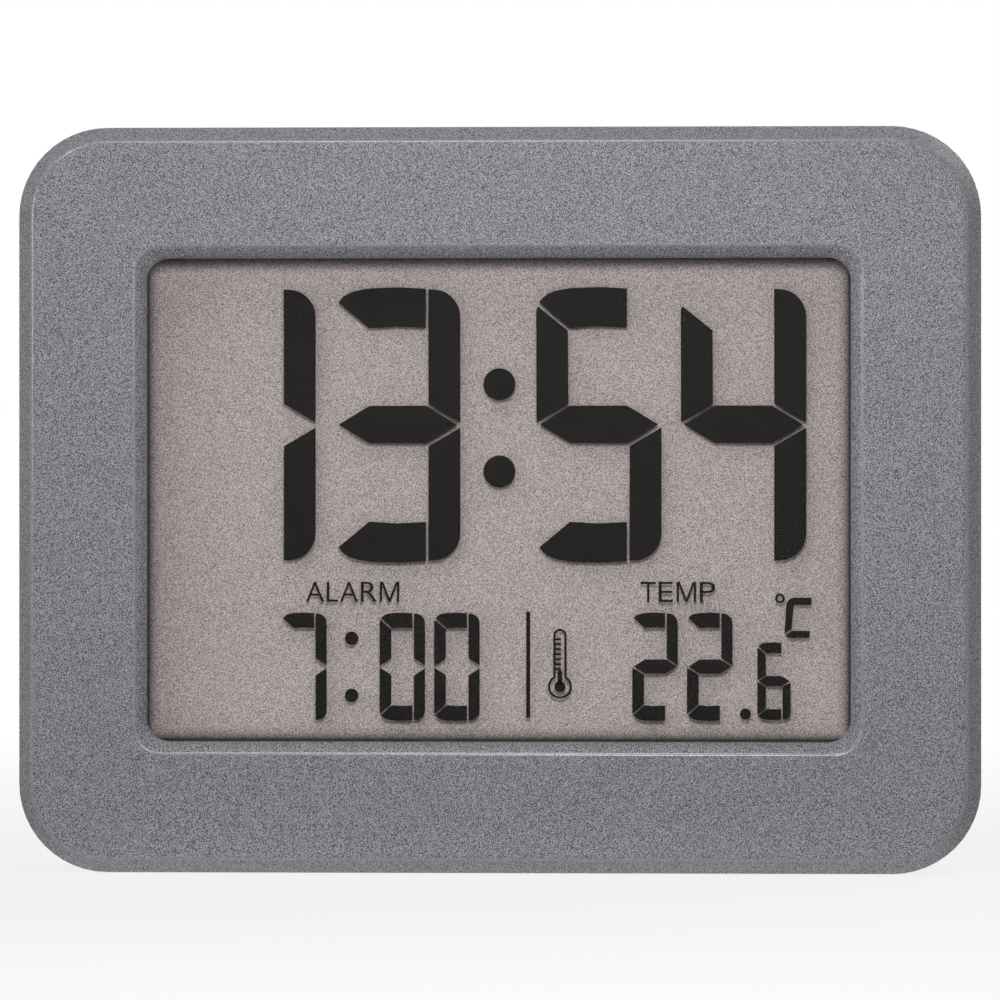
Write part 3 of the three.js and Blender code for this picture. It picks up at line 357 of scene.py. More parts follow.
class Solid:
    """A closed mesh in work, in millimetres of the face frame."""

    def __init__(self) -> None:
        """Starts with an empty mesh."""
        self.bm = bmesh.new()

    def face_out(self, older: set[BMFace]) -> "Solid":
        """Turns the faces that are newer than some others to the outside."""
        bmesh.ops.recalc_face_normals(self.bm, faces=[face for face in self.bm.faces if face not in older])
        return self

    def loft(self, shape: Shape, profile: Profile, place: Matrix = STILL) -> "Solid":
        """Skins one outline along a profile and closes both ends.

        Args:
            shape: The outline.
            profile: Levels, each with how far the outline is grown there.
            place: Placing of the outline.

        Returns:
            This solid.
        """
        older = set(self.bm.faces)
        levels = apart([level for level, _ in profile])
        rings = [shape.ring(self.bm, level, grow, place) for level, (_, grow) in zip(levels, profile)]
        for near, far in zip(rings, rings[1:]):
            bmesh.ops.bridge_loops(self.bm, edges=near + far)
        for ring in (rings[0], rings[-1]):
            bmesh.ops.edgeloop_fill(self.bm, edges=ring)
        return self.face_out(older)

    def hoop(self, rings: Sequence[Ring], finishes: dict[int, int] | None = None) -> "Solid":
        """Skins rings in a closed chain, as for a frame.

        Args:
            rings: Outlines with their levels and how far each is grown.
            finishes: Steps that get another finish than the first, with its number.

        Returns:
            This solid.
        """
        older = set(self.bm.faces)
        levels = apart([level for _, level, _ in rings])
        made = [shape.ring(self.bm, level, grow, STILL) for level, (shape, _, grow) in zip(levels, rings)]
        for step, (near, far) in enumerate(zip(made, made[1:] + made[:1])):
            skin = bmesh.ops.bridge_loops(self.bm, edges=near + far)
            for face in skin["faces"]:
                face.material_index = (finishes or {}).get(step, 0)
        return self.face_out(older)

    def plate(
        self, corners: Sequence[Corner], front: float, back: float,
        place: Matrix = STILL, shrink: float = 0.0,
    ) -> "Solid":
        """Adds a flat plate with chosen corners rounded; its last corner stays sharp.

        Args:
            corners: Corners in order.
            front: Level of one side.
            back: Level of the other side.
            place: Placing of the plate.
            shrink: How far its edge is drawn in all round.

        Returns:
            This solid.
        """
        older = set(self.bm.faces)
        verts = [self.bm.verts.new(place @ Vector((c.x, c.y, -front))) for c in corners]
        self.bm.faces.new(verts)
        for vert, corner in zip(verts, corners):
            if corner.rounding:
                size = corner.rounding * abs(place.to_scale().x)
                soften(self.bm, [vert], size, steps=7, what=Round.CORNERS)
        face = verts[-1].link_faces[0]
        if shrink:
            edge = bmesh.ops.inset_individual(self.bm, faces=[face], thickness=shrink, use_even_offset=True)
            bmesh.ops.delete(self.bm, geom=edge["faces"], context="FACES")
        raised = bmesh.ops.extrude_face_region(self.bm, geom=[face], use_keep_orig=True)
        moved = [item for item in raised["geom"] if isinstance(item, BMVert)]
        bmesh.ops.translate(self.bm, verts=moved, vec=(0.0, 0.0, front - back))
        return self.face_out(older)

    def lathe(self, profile: Profile, place: Matrix, steps: int = 40) -> "Solid":
        """Turns a profile once round the z axis of its placing.

        Args:
            profile: Points as distance from the axis and distance along it, from the axis back to the axis.
            place: Placing of the axis.
            steps: Number of steps round.

        Returns:
            This solid.
        """
        older = set(self.bm.faces)
        verts = [self.bm.verts.new(place @ Vector((across, 0.0, along))) for across, along in profile]
        edges = [self.bm.edges.new(pair) for pair in zip(verts, verts[1:])]
        axis = place.to_3x3() @ Vector((0, 0, 1))
        bmesh.ops.spin(
            self.bm, geom=verts + edges, cent=place.to_translation(), axis=axis, dvec=(0, 0, 0),
            angle=math.tau, steps=steps, use_merge=True, use_duplicate=False, space=STILL,
        )
        bmesh.ops.remove_doubles(self.bm, verts=self.bm.verts, dist=WELD)
        return self.face_out(older)

    def wire(self, points: Sequence[Vector], radius: float, sides: int) -> "Solid":
        """Adds a round wire with closed ends through points.

        Args:
            points: Points in the face frame, depth as minus z.
            radius: Radius of the wire.
            sides: Fineness of its round section.

        Returns:
            This solid.
        """
        curve = bpy.data.curves.new("wire", "CURVE")
        curve.dimensions = "3D"
        curve.bevel_depth = radius
        curve.bevel_resolution = sides
        curve.use_fill_caps = True
        curve.resolution_u = 8
        line = curve.splines.new("BEZIER")
        line.bezier_points.add(len(points) - 1)
        for knot, point in zip(line.bezier_points, points):
            knot.co = point
            knot.handle_left_type = "AUTO"
            knot.handle_right_type = "AUTO"
        return self.take(curve)

    def letters(
        self, text: str, width: float, height: float, place: Matrix, thickness: float, weight: float = 0.0,
    ) -> "Solid":
        """Adds plain raised lettering, its foot in the middle of the placing.

        Args:
            text: The words.
            width: Width of the whole line.
            height: Height of a capital letter.
            place: Placing of the middle of the foot of the line.
            thickness: How thick the letters are.
            weight: How much bolder the strokes are than usual, as a share of the size.

        Returns:
            This solid.
        """
        curve = bpy.data.curves.new("letters", "FONT")
        curve.body = text
        curve.align_x = "CENTER"
        curve.extrude = 0.5
        curve.offset = weight
        curve.resolution_u = 5
        lettering = Solid().take(curve)
        xs = [vert.co.x for vert in lettering.bm.verts]
        ys = [vert.co.y for vert in lettering.bm.verts]
        size = Matrix.Diagonal((width / (max(xs) - min(xs)), height / (max(ys) - min(ys)), thickness, 1.0))
        middle = Matrix.Translation((-(max(xs) + min(xs)) / 2, -min(ys), 0.5))
        bmesh.ops.transform(lettering.bm, matrix=place @ size @ middle, verts=lettering.bm.verts)
        return self.absorb(lettering)

    def take(self, curve: Curve) -> "Solid":
        """Adds a curve or text as a mesh.

        Args:
            curve: The curve, which is used up.

        Returns:
            This solid.
        """
        older = set(self.bm.faces)
        holder = bpy.data.objects.new("work", curve)
        bpy.context.scene.collection.objects.link(holder)
        shaped = holder.evaluated_get(bpy.context.evaluated_depsgraph_get())
        self.bm.from_mesh(shaped.to_mesh())
        shaped.to_mesh_clear()
        bpy.data.objects.remove(holder)
        bpy.data.curves.remove(curve)
        bmesh.ops.remove_doubles(self.bm, verts=self.bm.verts, dist=FINE_WELD)
        return self.face_out(older)

    def absorb(self, other: "Solid") -> "Solid":
        """Adds another solid as a shell of its own.

        Args:
            other: The other solid, which is used up.

        Returns:
            This solid.
        """
        mesh = bpy.data.meshes.new("work")
        other.bm.to_mesh(mesh)
        other.bm.free()
        self.bm.from_mesh(mesh)
        bpy.data.meshes.remove(mesh)
        return self

    def merge(self, how: Join, shape: Shape, profile: Profile, place: Matrix = STILL) -> "Solid":
        """Adds or cuts away one block, lofted from an outline along a profile."""
        return self.join(how, Solid().loft(shape, profile, place))

    def join(self, how: Join, other: "Solid") -> "Solid":
        """Adds or cuts away another solid.

        Args:
            how: Whether it is added or cut away.
            other: The other solid, which is used up.

        Returns:
            This solid.
        """
        holders = []
        for solid in (self, other):
            mesh = bpy.data.meshes.new("work")
            solid.bm.to_mesh(mesh)
            solid.bm.free()
            holders.append(bpy.data.objects.new("work", mesh))
            bpy.context.scene.collection.objects.link(holders[-1])
        stock, tool = holders
        step = stock.modifiers.new("join", "BOOLEAN")
        step.operation = how.value
        step.solver = "EXACT"
        step.object = tool
        shaped = stock.evaluated_get(bpy.context.evaluated_depsgraph_get())
        self.bm = bmesh.new()
        self.bm.from_mesh(shaped.to_mesh())
        shaped.to_mesh_clear()
        for holder in holders:
            mesh = holder.data
            bpy.data.objects.remove(holder)
            bpy.data.meshes.remove(mesh)
        return self

    def piece(self, name: str, crease: float = 32.0) -> Object:
        """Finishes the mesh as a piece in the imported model's frame.

        Args:
            name: Name of the piece.
            crease: Angle in degrees past which an edge stays sharp.

        Returns:
            The piece, with its place in its mesh.
        """
        bmesh.ops.remove_doubles(self.bm, verts=self.bm.verts, dist=WELD)
        bmesh.ops.dissolve_degenerate(self.bm, dist=FINE_WELD, edges=self.bm.edges)
        bmesh.ops.transform(self.bm, matrix=face_to_row(), verts=self.bm.verts)
        mesh = bpy.data.meshes.new(name)
        self.bm.to_mesh(mesh)
        self.bm.free()
        mesh.shade_smooth()
        mesh.set_sharp_from_angle(angle=math.radians(crease))
        made = bpy.data.objects.new(name, mesh)
        bpy.context.scene.collection.objects.link(made)
        even = made.modifiers.new("even_shading", "WEIGHTED_NORMAL")
        even.keep_sharp = True
        return made


class Nodes:
    """Nodes of a material or a sky, added one by one."""

    def __init__(self, tree: NodeTree) -> None:
        """Starts with the nodes that a tree has."""
        self.tree = tree

    def add(self, kind: str) -> Node:
        """Adds a node of a kind."""
        return self.tree.nodes.new(kind)

    def feed(self, target: NodeSocket, source: Source) -> None:
        """Links a socket to a source, or sets its own value.

        Args:
            target: The socket.
            source: Socket of another node, or a value.
        """
        if isinstance(source, NodeSocket):
            self.tree.links.new(source, target)
        else:
            target.default_value = source

    def maths(self, operation: str, first: Source, second: Source = 0.0) -> NodeSocket:
        """Works out one number from two.

        Args:
            operation: Name of the sum.
            first: First number.
            second: Second number.

        Returns:
            The result.
        """
        node = self.add("ShaderNodeMath")
        node.operation = operation
        self.feed(node.inputs[0], first)
        self.feed(node.inputs[1], second)
        return node.outputs["Value"]

    def spread(self, number: NodeSocket, low: Source, high: Source, room: Point = (0.0, 1.0)) -> NodeSocket:
        """Spreads a number from one range over another.

        Args:
            number: The number.
            low: What the start of its range becomes.
            high: What the end of its range becomes.
            room: Start and end of its range.

        Returns:
            The new number.
        """
        node = self.add("ShaderNodeMapRange")
        names = ("Value", "From Min", "From Max", "To Min", "To Max")
        for name, value in zip(names, (number, *room, low, high)):
            self.feed(node.inputs[name], value)
        return node.outputs["Result"]

    def seen(self) -> NodeSocket:
        """Gives 1 for rays that see a surface straight, in a reflection or through a clear sheet.

        Returns:
            The factor.
        """
        path = self.add("ShaderNodeLightPath")
        total = path.outputs["Is Camera Ray"]
        for name in ("Is Glossy Ray", "Is Transmission Ray"):
            total = self.maths("MAXIMUM", total, path.outputs[name])
        return total


class Recipe(Nodes):
    """A material whose nodes are added in front of its one shader."""

    def __init__(self, name: str) -> None:
        """Starts with a bare shader.

        Args:
            name: Name of the material.
        """
        self.material = bpy.data.materials.new(name)
        self.material.use_nodes = True
        super().__init__(self.material.node_tree)
        self.shader = self.tree.nodes["Principled BSDF"]
        self.spot = self.add("ShaderNodeTexCoord").outputs["Object"]

    def set(self, **values: Source) -> None:
        """Sets or feeds the shader's own sockets.

        Args:
            values: Numbers, colours or sockets of nodes, by name with underscores for spaces.
        """
        for name, value in values.items():
            socket = self.shader.inputs[name.replace("_", " ").title().replace("Ior", "IOR")]
            self.feed(socket, (*value, 1.0) if isinstance(value, tuple) else value)

    def along(self, axis: str) -> NodeSocket:
        """Gives how far along an axis a spot of the surface lies.

        Args:
            axis: Letter of the axis.

        Returns:
            The distance in metres.
        """
        parts = self.add("ShaderNodeSeparateXYZ")
        self.feed(parts.inputs["Vector"], self.spot)
        return parts.outputs[axis]

    def noise(self, grain: float, detail: float = 2.0, stretch: Colour = (1.0, 1.0, 1.0)) -> NodeSocket:
        """Adds a cloudy pattern.

        Args:
            grain: Size of its spots in millimetres.
            detail: How much finer detail it carries.
            stretch: Finer pattern along an axis where above 1.

        Returns:
            The pattern, from 0 to 1.
        """
        mapping = self.add("ShaderNodeMapping")
        mapping.inputs["Scale"].default_value = stretch
        mapping.inputs["Rotation"].default_value = NOISE_TURN
        self.feed(mapping.inputs["Vector"], self.spot)
        pattern = self.add("ShaderNodeTexNoise")
        pattern.inputs["Scale"].default_value = 1.0 / (grain * MM)
        pattern.inputs["Detail"].default_value = detail
        self.feed(pattern.inputs["Vector"], mapping.outputs["Vector"])
        return pattern.outputs[0]

    def ramp(self, factor: NodeSocket, *stops: tuple[float, Colour]) -> NodeSocket:
        """Turns a pattern into colours.

        Args:
            factor: The pattern.
            stops: Places from 0 to 1 with their colours.

        Returns:
            The colour.
        """
        node = self.add("ShaderNodeValToRGB")
        marks = node.color_ramp.elements
        while len(marks) < len(stops):
            marks.new(0.5)
        for mark, (place, colour) in zip(marks, stops):
            mark.position = place
            mark.color = (*colour, 1.0)
        self.feed(node.inputs["Fac"], factor)
        return node.outputs["Color"]

    def shades(self, factor: NodeSocket, *stops: Point) -> NodeSocket:
        """Turns a pattern into greys, from places with their levels."""
        return self.ramp(factor, *((place, grey(level)) for place, level in stops))

    def between(self, factor: NodeSocket, low: float, high: float) -> NodeSocket:
        """Spreads the middle of a pattern between two numbers."""
        return self.spread(factor, low, high, NOISE_SPAN)

    def multiply(self, first: NodeSocket, second: NodeSocket) -> NodeSocket:
        """Multiplies two colours.

        Args:
            first: First colour.
            second: Second colour.

        Returns:
            The product.
        """
        node = self.add("ShaderNodeMix")
        node.data_type = "RGBA"
        node.blend_type = "MULTIPLY"
        self.feed(node.inputs["Factor"], 1.0)
        self.feed(node.inputs[6], first)
        self.feed(node.inputs[7], second)
        return node.outputs[2]

    def relief(self, height: NodeSocket, depth: float) -> NodeSocket:
        """Works out fine relief of the surface.

        Args:
            height: Pattern of the relief.
            depth: Its depth in millimetres.

        Returns:
            The way that the surface faces.
        """
        node = self.add("ShaderNodeBump")
        node.inputs["Strength"].default_value = 1.0
        node.inputs["Distance"].default_value = depth * MM
        self.feed(node.inputs["Height"], height)
        return node.outputs["Normal"]


class Finish(Protocol):
    """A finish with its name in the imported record."""

    slot: str

    def material(self) -> Material:
        """Gives the material of the finish."""


@dataclass(frozen=True)
class Moulded:
    """Moulded plastic or rubber with a fine grain."""

    name: str
    slot: str
    colour: Colour
    grain: float = 0.42
    depth: float = 0.03
    # How far the grain's colour swings: its own tone, and painted shade in its pits
    speckle: float = 0.06
    roughness: float = 0.55
    gloss: float = 0.4

    @cache
    def material(self) -> Material:
        """Gives the material of the finish.

        Returns:
            Grained plastic with a slight cloudiness in its colour, with painted shade in the grain's pits.
        """
        recipe = Recipe(self.name)
        grain = recipe.noise(self.grain, 1.0)
        # Grain's tone speckle, partly painted shade: darker in the relief's pits, lighter on its crests
        dark, light = scaled(self.colour, 1 - self.speckle), scaled(self.colour, 1 + self.speckle)
        grain_tone_and_pit_shade = recipe.ramp(grain, (0.42, dark), (0.58, light))
        clouds = recipe.shades(recipe.noise(14.0, 1.0), (0.3, 0.97), (0.7, 1.0))
        recipe.set(
            base_color=recipe.multiply(grain_tone_and_pit_shade, clouds),
            roughness=recipe.between(grain, self.roughness + 0.06, self.roughness - 0.06),
            specular_ior_level=self.gloss,
            normal=recipe.relief(grain, self.depth),
        )
        return recipe.material


@dataclass(frozen=True)
class ClearSheet:
    """Clear polished sheet with a faint haze."""

    name: str
    slot: str
    tint: Colour
    body: float
    roughness: float = 0.06

    @cache
    def material(self) -> Material:
        """Gives the material of the finish.

        Returns:
            A clear sheet that lets nearly all light through.
        """
        recipe = Recipe(self.name)
        haze = recipe.noise(6.0, 3.0)
        recipe.set(
            base_color=recipe.ramp(haze, (0.3, self.tint), (0.7, scaled(self.tint, 1.1))),
            roughness=recipe.between(haze, self.roughness, self.roughness + 0.05),
            alpha=self.body,
        )
        return recipe.material


@dataclass(frozen=True)
class ReflectorFilm:
    """Satin film behind the display, with painted shade along its edges and painted light up its height."""

    name: str
    slot: str
    colour: Colour
    half_width: float
    half_height: float
    middle: float
    grain: float = 0.14
    # Width of the painted shade along the edges in millimetres, and its middle moved left and up
    shade: float = 1.7
    lean: Point = (-0.2, 0.2)
    # Painted shade at the window's edges; painted light, lighter near the top and bottom than the middle
    painted_shade_stops: Profile = ((0.0, 0.08), (0.15, 0.35), (0.5, 0.75), (1.0, 1.0))
    painted_light_stops: Profile = ((0.0, 1.0), (0.25, 0.89), (0.75, 0.835), (0.9, 0.88), (1.0, 1.0))

    @cache
    def material(self) -> Material:
        """Gives the material of the finish.

        Returns:
            Warm satin film with a fine sparkle, painted shade at its edges and painted light up its height.
        """
        recipe = Recipe(self.name)
        grain = recipe.noise(self.grain, 1.0)
        film = recipe.ramp(grain, (0.4, scaled(self.colour, 0.5)), (0.6, scaled(self.colour, 1.5)))
        middles = {"X": self.lean[0] * MM, "Z": self.middle + self.lean[1] * MM}
        rooms = []
        for (axis, middle), half in zip(middles.items(), (self.half_width, self.half_height)):
            off = recipe.maths("ABSOLUTE", recipe.maths("SUBTRACT", recipe.along(axis), middle))
            rooms.append(recipe.maths("SUBTRACT", half * MM, off))
        edge = recipe.maths("DIVIDE", recipe.maths("MINIMUM", *rooms), self.shade * MM)
        ends = (self.middle - self.half_height * MM, self.middle + self.half_height * MM)
        height = recipe.spread(recipe.along("Z"), 0.0, 1.0, ends)
        # Painted shade: the film darkens towards the edges of the window, where the case shades it
        shaded = recipe.multiply(film, recipe.shades(edge, *self.painted_shade_stops))
        # Painted light: the film is lighter near its top and bottom, to even out how the lamps light it
        recipe.set(
            base_color=recipe.multiply(shaded, recipe.shades(height, *self.painted_light_stops)),
            roughness=recipe.between(grain, 0.6, 0.5),
            specular_ior_level=0.2,
            normal=recipe.relief(grain, 0.01),
        )
        return recipe.material


@dataclass(frozen=True)
class Ink:
    """Thin film of one colour: the lit signs of the display, or printed marks."""

    name: str
    slot: str
    colour: Colour
    gloss: float = 0.1

    @cache
    def material(self) -> Material:
        """Gives the material of the finish.

        Returns:
            A nearly even film.
        """
        recipe = Recipe(self.name)
        clouds = recipe.noise(1.2, 2.0)
        recipe.set(
            base_color=recipe.ramp(clouds, (0.3, self.colour), (0.7, scaled(self.colour, 1.35))),
            roughness=recipe.between(clouds, 0.5, 0.65),
            specular_ior_level=self.gloss,
        )
        return recipe.material


@dataclass(frozen=True)
class Metal:
    """Rolled or drawn metal with fine lines."""

    name: str
    slot: str
    colour: Colour
    roughness: float = 0.28
    lines: Colour = (1.0, 1.0, 12.0)

    @cache
    def material(self) -> Material:
        """Gives the material of the finish.

        Returns:
            Bright metal with rolling marks and dull spots.
        """
        recipe = Recipe(self.name)
        marks = recipe.noise(1.6, 3.0, self.lines)
        spots = recipe.noise(3.0, 2.0)
        recipe.set(
            base_color=recipe.ramp(spots, (0.25, scaled(self.colour, 0.82)), (0.6, self.colour)),
            roughness=recipe.between(marks, self.roughness - 0.06, self.roughness + 0.1),
            metallic=1.0,
            normal=recipe.relief(marks, 0.006),
        )
        return recipe.material


@dataclass(frozen=True)
class BoardLacquer:
    """Green lacquer over copper tracks."""

    name: str
    slot: str
    colour: Colour

    @cache
    def material(self) -> Material:
        """Gives the material of the finish.

        Returns:
            Glossy lacquer with paler tracks under it.
        """
        recipe = Recipe(self.name)
        mapping = recipe.add("ShaderNodeMapping")
        mapping.inputs["Rotation"].default_value = (math.pi / 2, 0.0, 0.0)
        recipe.feed(mapping.inputs["Vector"], recipe.spot)
        tracks = recipe.add("ShaderNodeTexBrick")
        tracks.inputs["Scale"].default_value = 60.0
        tracks.inputs["Mortar Size"].default_value = 0.03
        for name, share in (("Color1", 1.0), ("Color2", 0.85), ("Mortar", 1.7)):
            tracks.inputs[name].default_value = (*scaled(self.colour, share), 1.0)
        recipe.feed(tracks.inputs["Vector"], mapping.outputs["Vector"])
        recipe.set(
            base_color=tracks.outputs["Color"],
            roughness=recipe.between(recipe.noise(2.0), 0.3, 0.42),
            normal=recipe.relief(tracks.outputs["Fac"], 0.03),
        )
        return recipe.material


@dataclass(frozen=True)
class CellSleeve:
    """Printed sleeve of a cell, with a pale band at one end."""

    name: str
    slot: str
    colour: Colour
    band: Colour
    low: float
    high: float
    upright: bool

    @cache
    def material(self) -> Material:
        """Gives the material of the finish.

        Returns:
            Glossy sleeve with one pale band and a fine scuff.
        """
        recipe = Recipe(self.name)
        ends = (self.low, self.high) if self.upright else (self.high, self.low)
        share = recipe.spread(recipe.along("Z"), 0.0, 1.0, ends)
        stripe = recipe.ramp(share, (0.735, self.colour), (0.745, self.band))
        scuff = recipe.noise(2.5, 4.0)
        recipe.set(
            base_color=recipe.multiply(stripe, recipe.shades(scuff, (0.3, 0.9), (0.7, 1.0))),
            roughness=recipe.between(scuff, 0.24, 0.36),
            metallic=0.35,
            normal=recipe.relief(scuff, 0.004),
        )
        return recipe.material


CASE_TONE = tone(125, 124, 129)
FILM_TONE = tone(199, 187, 185)
SLEEVE_TONE = tone(38, 62, 84)
BAND_TONE = tone(178, 150, 98)
CASE_GREY = Moulded(
    "case_plastic", "case_grey", CASE_TONE, grain=0.12, depth=0.035, speckle=0.85, roughness=0.5, gloss=0.35,
)
BEVEL_GREY = Moulded(
    "case_bevel_plastic", "case_grey", CASE_TONE,
    grain=0.14, depth=0.004, speckle=0.5, roughness=0.24, gloss=0.7,
)
RIM_GREY = Moulded(
    "case_rim_plastic", "case_grey", CASE_TONE,
    grain=0.12, depth=0.015, speckle=0.85, roughness=0.4, gloss=0.2,
)
KEY_GREY = Moulded("key_plastic", "key_grey", tone(85, 84, 90), depth=0.012, roughness=0.5)
HOLDER_WHITE = Moulded("holder_plastic", "holder_white", tone(216, 216, 212), depth=0.01)
SWITCH_BLACK = Moulded("switch_plastic", "switch_black", tone(36, 36, 38), depth=0.01, roughness=0.45)
GASKET_BLACK = Moulded(
    "gasket_foam", "gasket_black", tone(23, 23, 23), grain=0.25, depth=0.05, roughness=0.85,
)
STRIP_GREY = Moulded("strip_rubber", "strip_grey", tone(58, 58, 60), depth=0.02, roughness=0.8)
LEAD_RED = Moulded("lead_red_cover", "lead_red", tone(160, 42, 36), grain=0.2, depth=0.01, roughness=0.5)
LEAD_BLACK = Moulded(
    "lead_black_cover", "lead_black", tone(27, 27, 28), grain=0.2, depth=0.01, roughness=0.5,
)
RESIN_BLACK = Moulded("chip_resin", "resin_black", tone(20, 20, 22), grain=1.5, depth=0.02, roughness=0.3)
SENSOR_BROWN = Moulded(
    "sensor_resin", "sensor_brown", tone(90, 58, 34), grain=1.0, depth=0.02, roughness=0.3,
)
CERAMIC = Moulded("buzzer_ceramic_face", "buzzer_ceramic", tone(220, 215, 203), grain=0.3, depth=0.01)
WINDOW_CLEAR = ClearSheet("window_acrylic", "window_clear", (0.03, 0.032, 0.032), 0.03)
LCD_GLASS = ClearSheet("display_glass", "lcd_glass", (0.02, 0.022, 0.021), 0.02)
SEGMENT_BLACK = Ink("segment_film", "segment_black", tone(16, 14, 12))
MARK_WHITE = Ink("mark_ink", "holder_white", tone(200, 200, 202))
TINNED_STEEL = Metal("tinned_steel_sheet", "tinned_steel", tone(184, 187, 191))
BRASS = Metal("buzzer_brass_sheet", "buzzer_brass", tone(181, 141, 69))
BOARD_GREEN = BoardLacquer("board_lacquer", "board_green", tone(47, 95, 58))


def mount(piece: Object, body: Body, *finishes: Finish, stands_for: Sequence[str] = ()) -> None:
    """Gives a piece its finishes and its body.

    Args:
        piece: The finished piece.
        body: Body that it moves with.
        finishes: Its finishes, the main one first.
        stands_for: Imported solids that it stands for.
    """
    for finish in finishes:
        piece.data.materials.append(finish.material())
    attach(piece, body.value)
    if stands_for:
        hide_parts(*stands_for)
    LOG.info("%s: %d faces on %s", piece.name, len(piece.data.polygons), body.value)


@dataclass
class FrontCase:
    """Front half of the case: the frame round the display."""

    outside: Outline = Outline(130.0, 100.8, 12.0, steps=12)
    window: Outline = Outline(94.93, 65.22, 3.1, x=-0.035, steps=12)
    bevel_edge: Outline = Outline(97.9, 68.35, 3.7, x=-0.02, steps=12)
    bow: float = 0.07
    back: float = 9.5
    seam: float = 0.25
    wall: float = 2.0
    front_wall: float = 2.5
    rim: Profile = (
        (3.4, 0.0), (3.05, -0.03), (2.72, -0.15), (0.47, -1.83), (0.277, -1.99),
        (0.164, -2.14), (0.075, -2.34), (0.0175, -2.59), (0.0, -2.84),
    )
    face_edge: Profile = ((0.0, 0.22), (0.0, 0.0), (0.2, -0.2))
    lip: Profile = ((1.28, 0.14), (1.42, 0.0), (1.62, 0.0))
    slope_steps: int = 3
    face_steps: int = 3

    def build(self) -> None:
        """Models the frame with its rounded rim and the bevel of its window."""
        outer = [(self.back, -self.seam), (self.back - self.seam, 0.0), *self.rim]
        edge = bend(*self.face_edge, steps=5)
        lip = bend(*self.lip, steps=3) + [(self.front_wall, 0.0)]
        rings = [(self.outside, level, grow) for level, grow in outer]
        rings += [(self.bevel_edge, level, grow) for level, grow in edge]
        rings += self.swell(edge[-1], lip[0])
        rings += [(self.window, level, grow) for level, grow in lip]
        rim = len(outer) - len(self.rim)
        slope_end = rim + self.slope_steps
        bevel = len(outer) + len(edge) - 1
        polished = [*range(slope_end, len(outer) - self.face_steps), *range(len(outer), bevel)]
        satin = [*range(rim, slope_end), *range(bevel, len(rings) - 1)]
        finishes = dict.fromkeys(polished, FrameFinish.POLISHED) | dict.fromkeys(satin, FrameFinish.SATIN)
        rings += [(self.outside, self.front_wall, -self.wall), (self.outside, self.back, -self.wall)]
        piece = Solid().hoop(rings, finishes).piece("front_frame")
        mount(piece, Body.CASE, CASE_GREY, BEVEL_GREY, RIM_GREY, stands_for=["front_case"])

    def swell(self, start: Point, end: Point) -> list[Ring]:
        """Bows the bevel of the window slightly outwards.

        Args:
            start: Level and growth of the last ring of the face's edge.
            end: Level and growth of the first ring of the window's lip.

        Returns:
            The rings between the two.
        """
        rings = []
        for share in (0.25, 0.5, 0.75):
            bow = 4 * self.bow * share * (1 - share)
            sizes = zip(astuple(self.bevel_edge)[:5], astuple(self.window)[:5])
            between = Outline(*(a + (b - a) * share for a, b in sizes), steps=self.window.steps)
            level, grow = (a + (b - a) * share - bow for a, b in zip(start, end))
            rings.append((between, level, grow))
        return rings


@dataclass(frozen=True)
class DigitRow:
    """Digits of one size in a row, each with the x of its middle."""

    width: float
    height: float
    y: float
    shrink: float
    digits: tuple[tuple[str, float], ...]


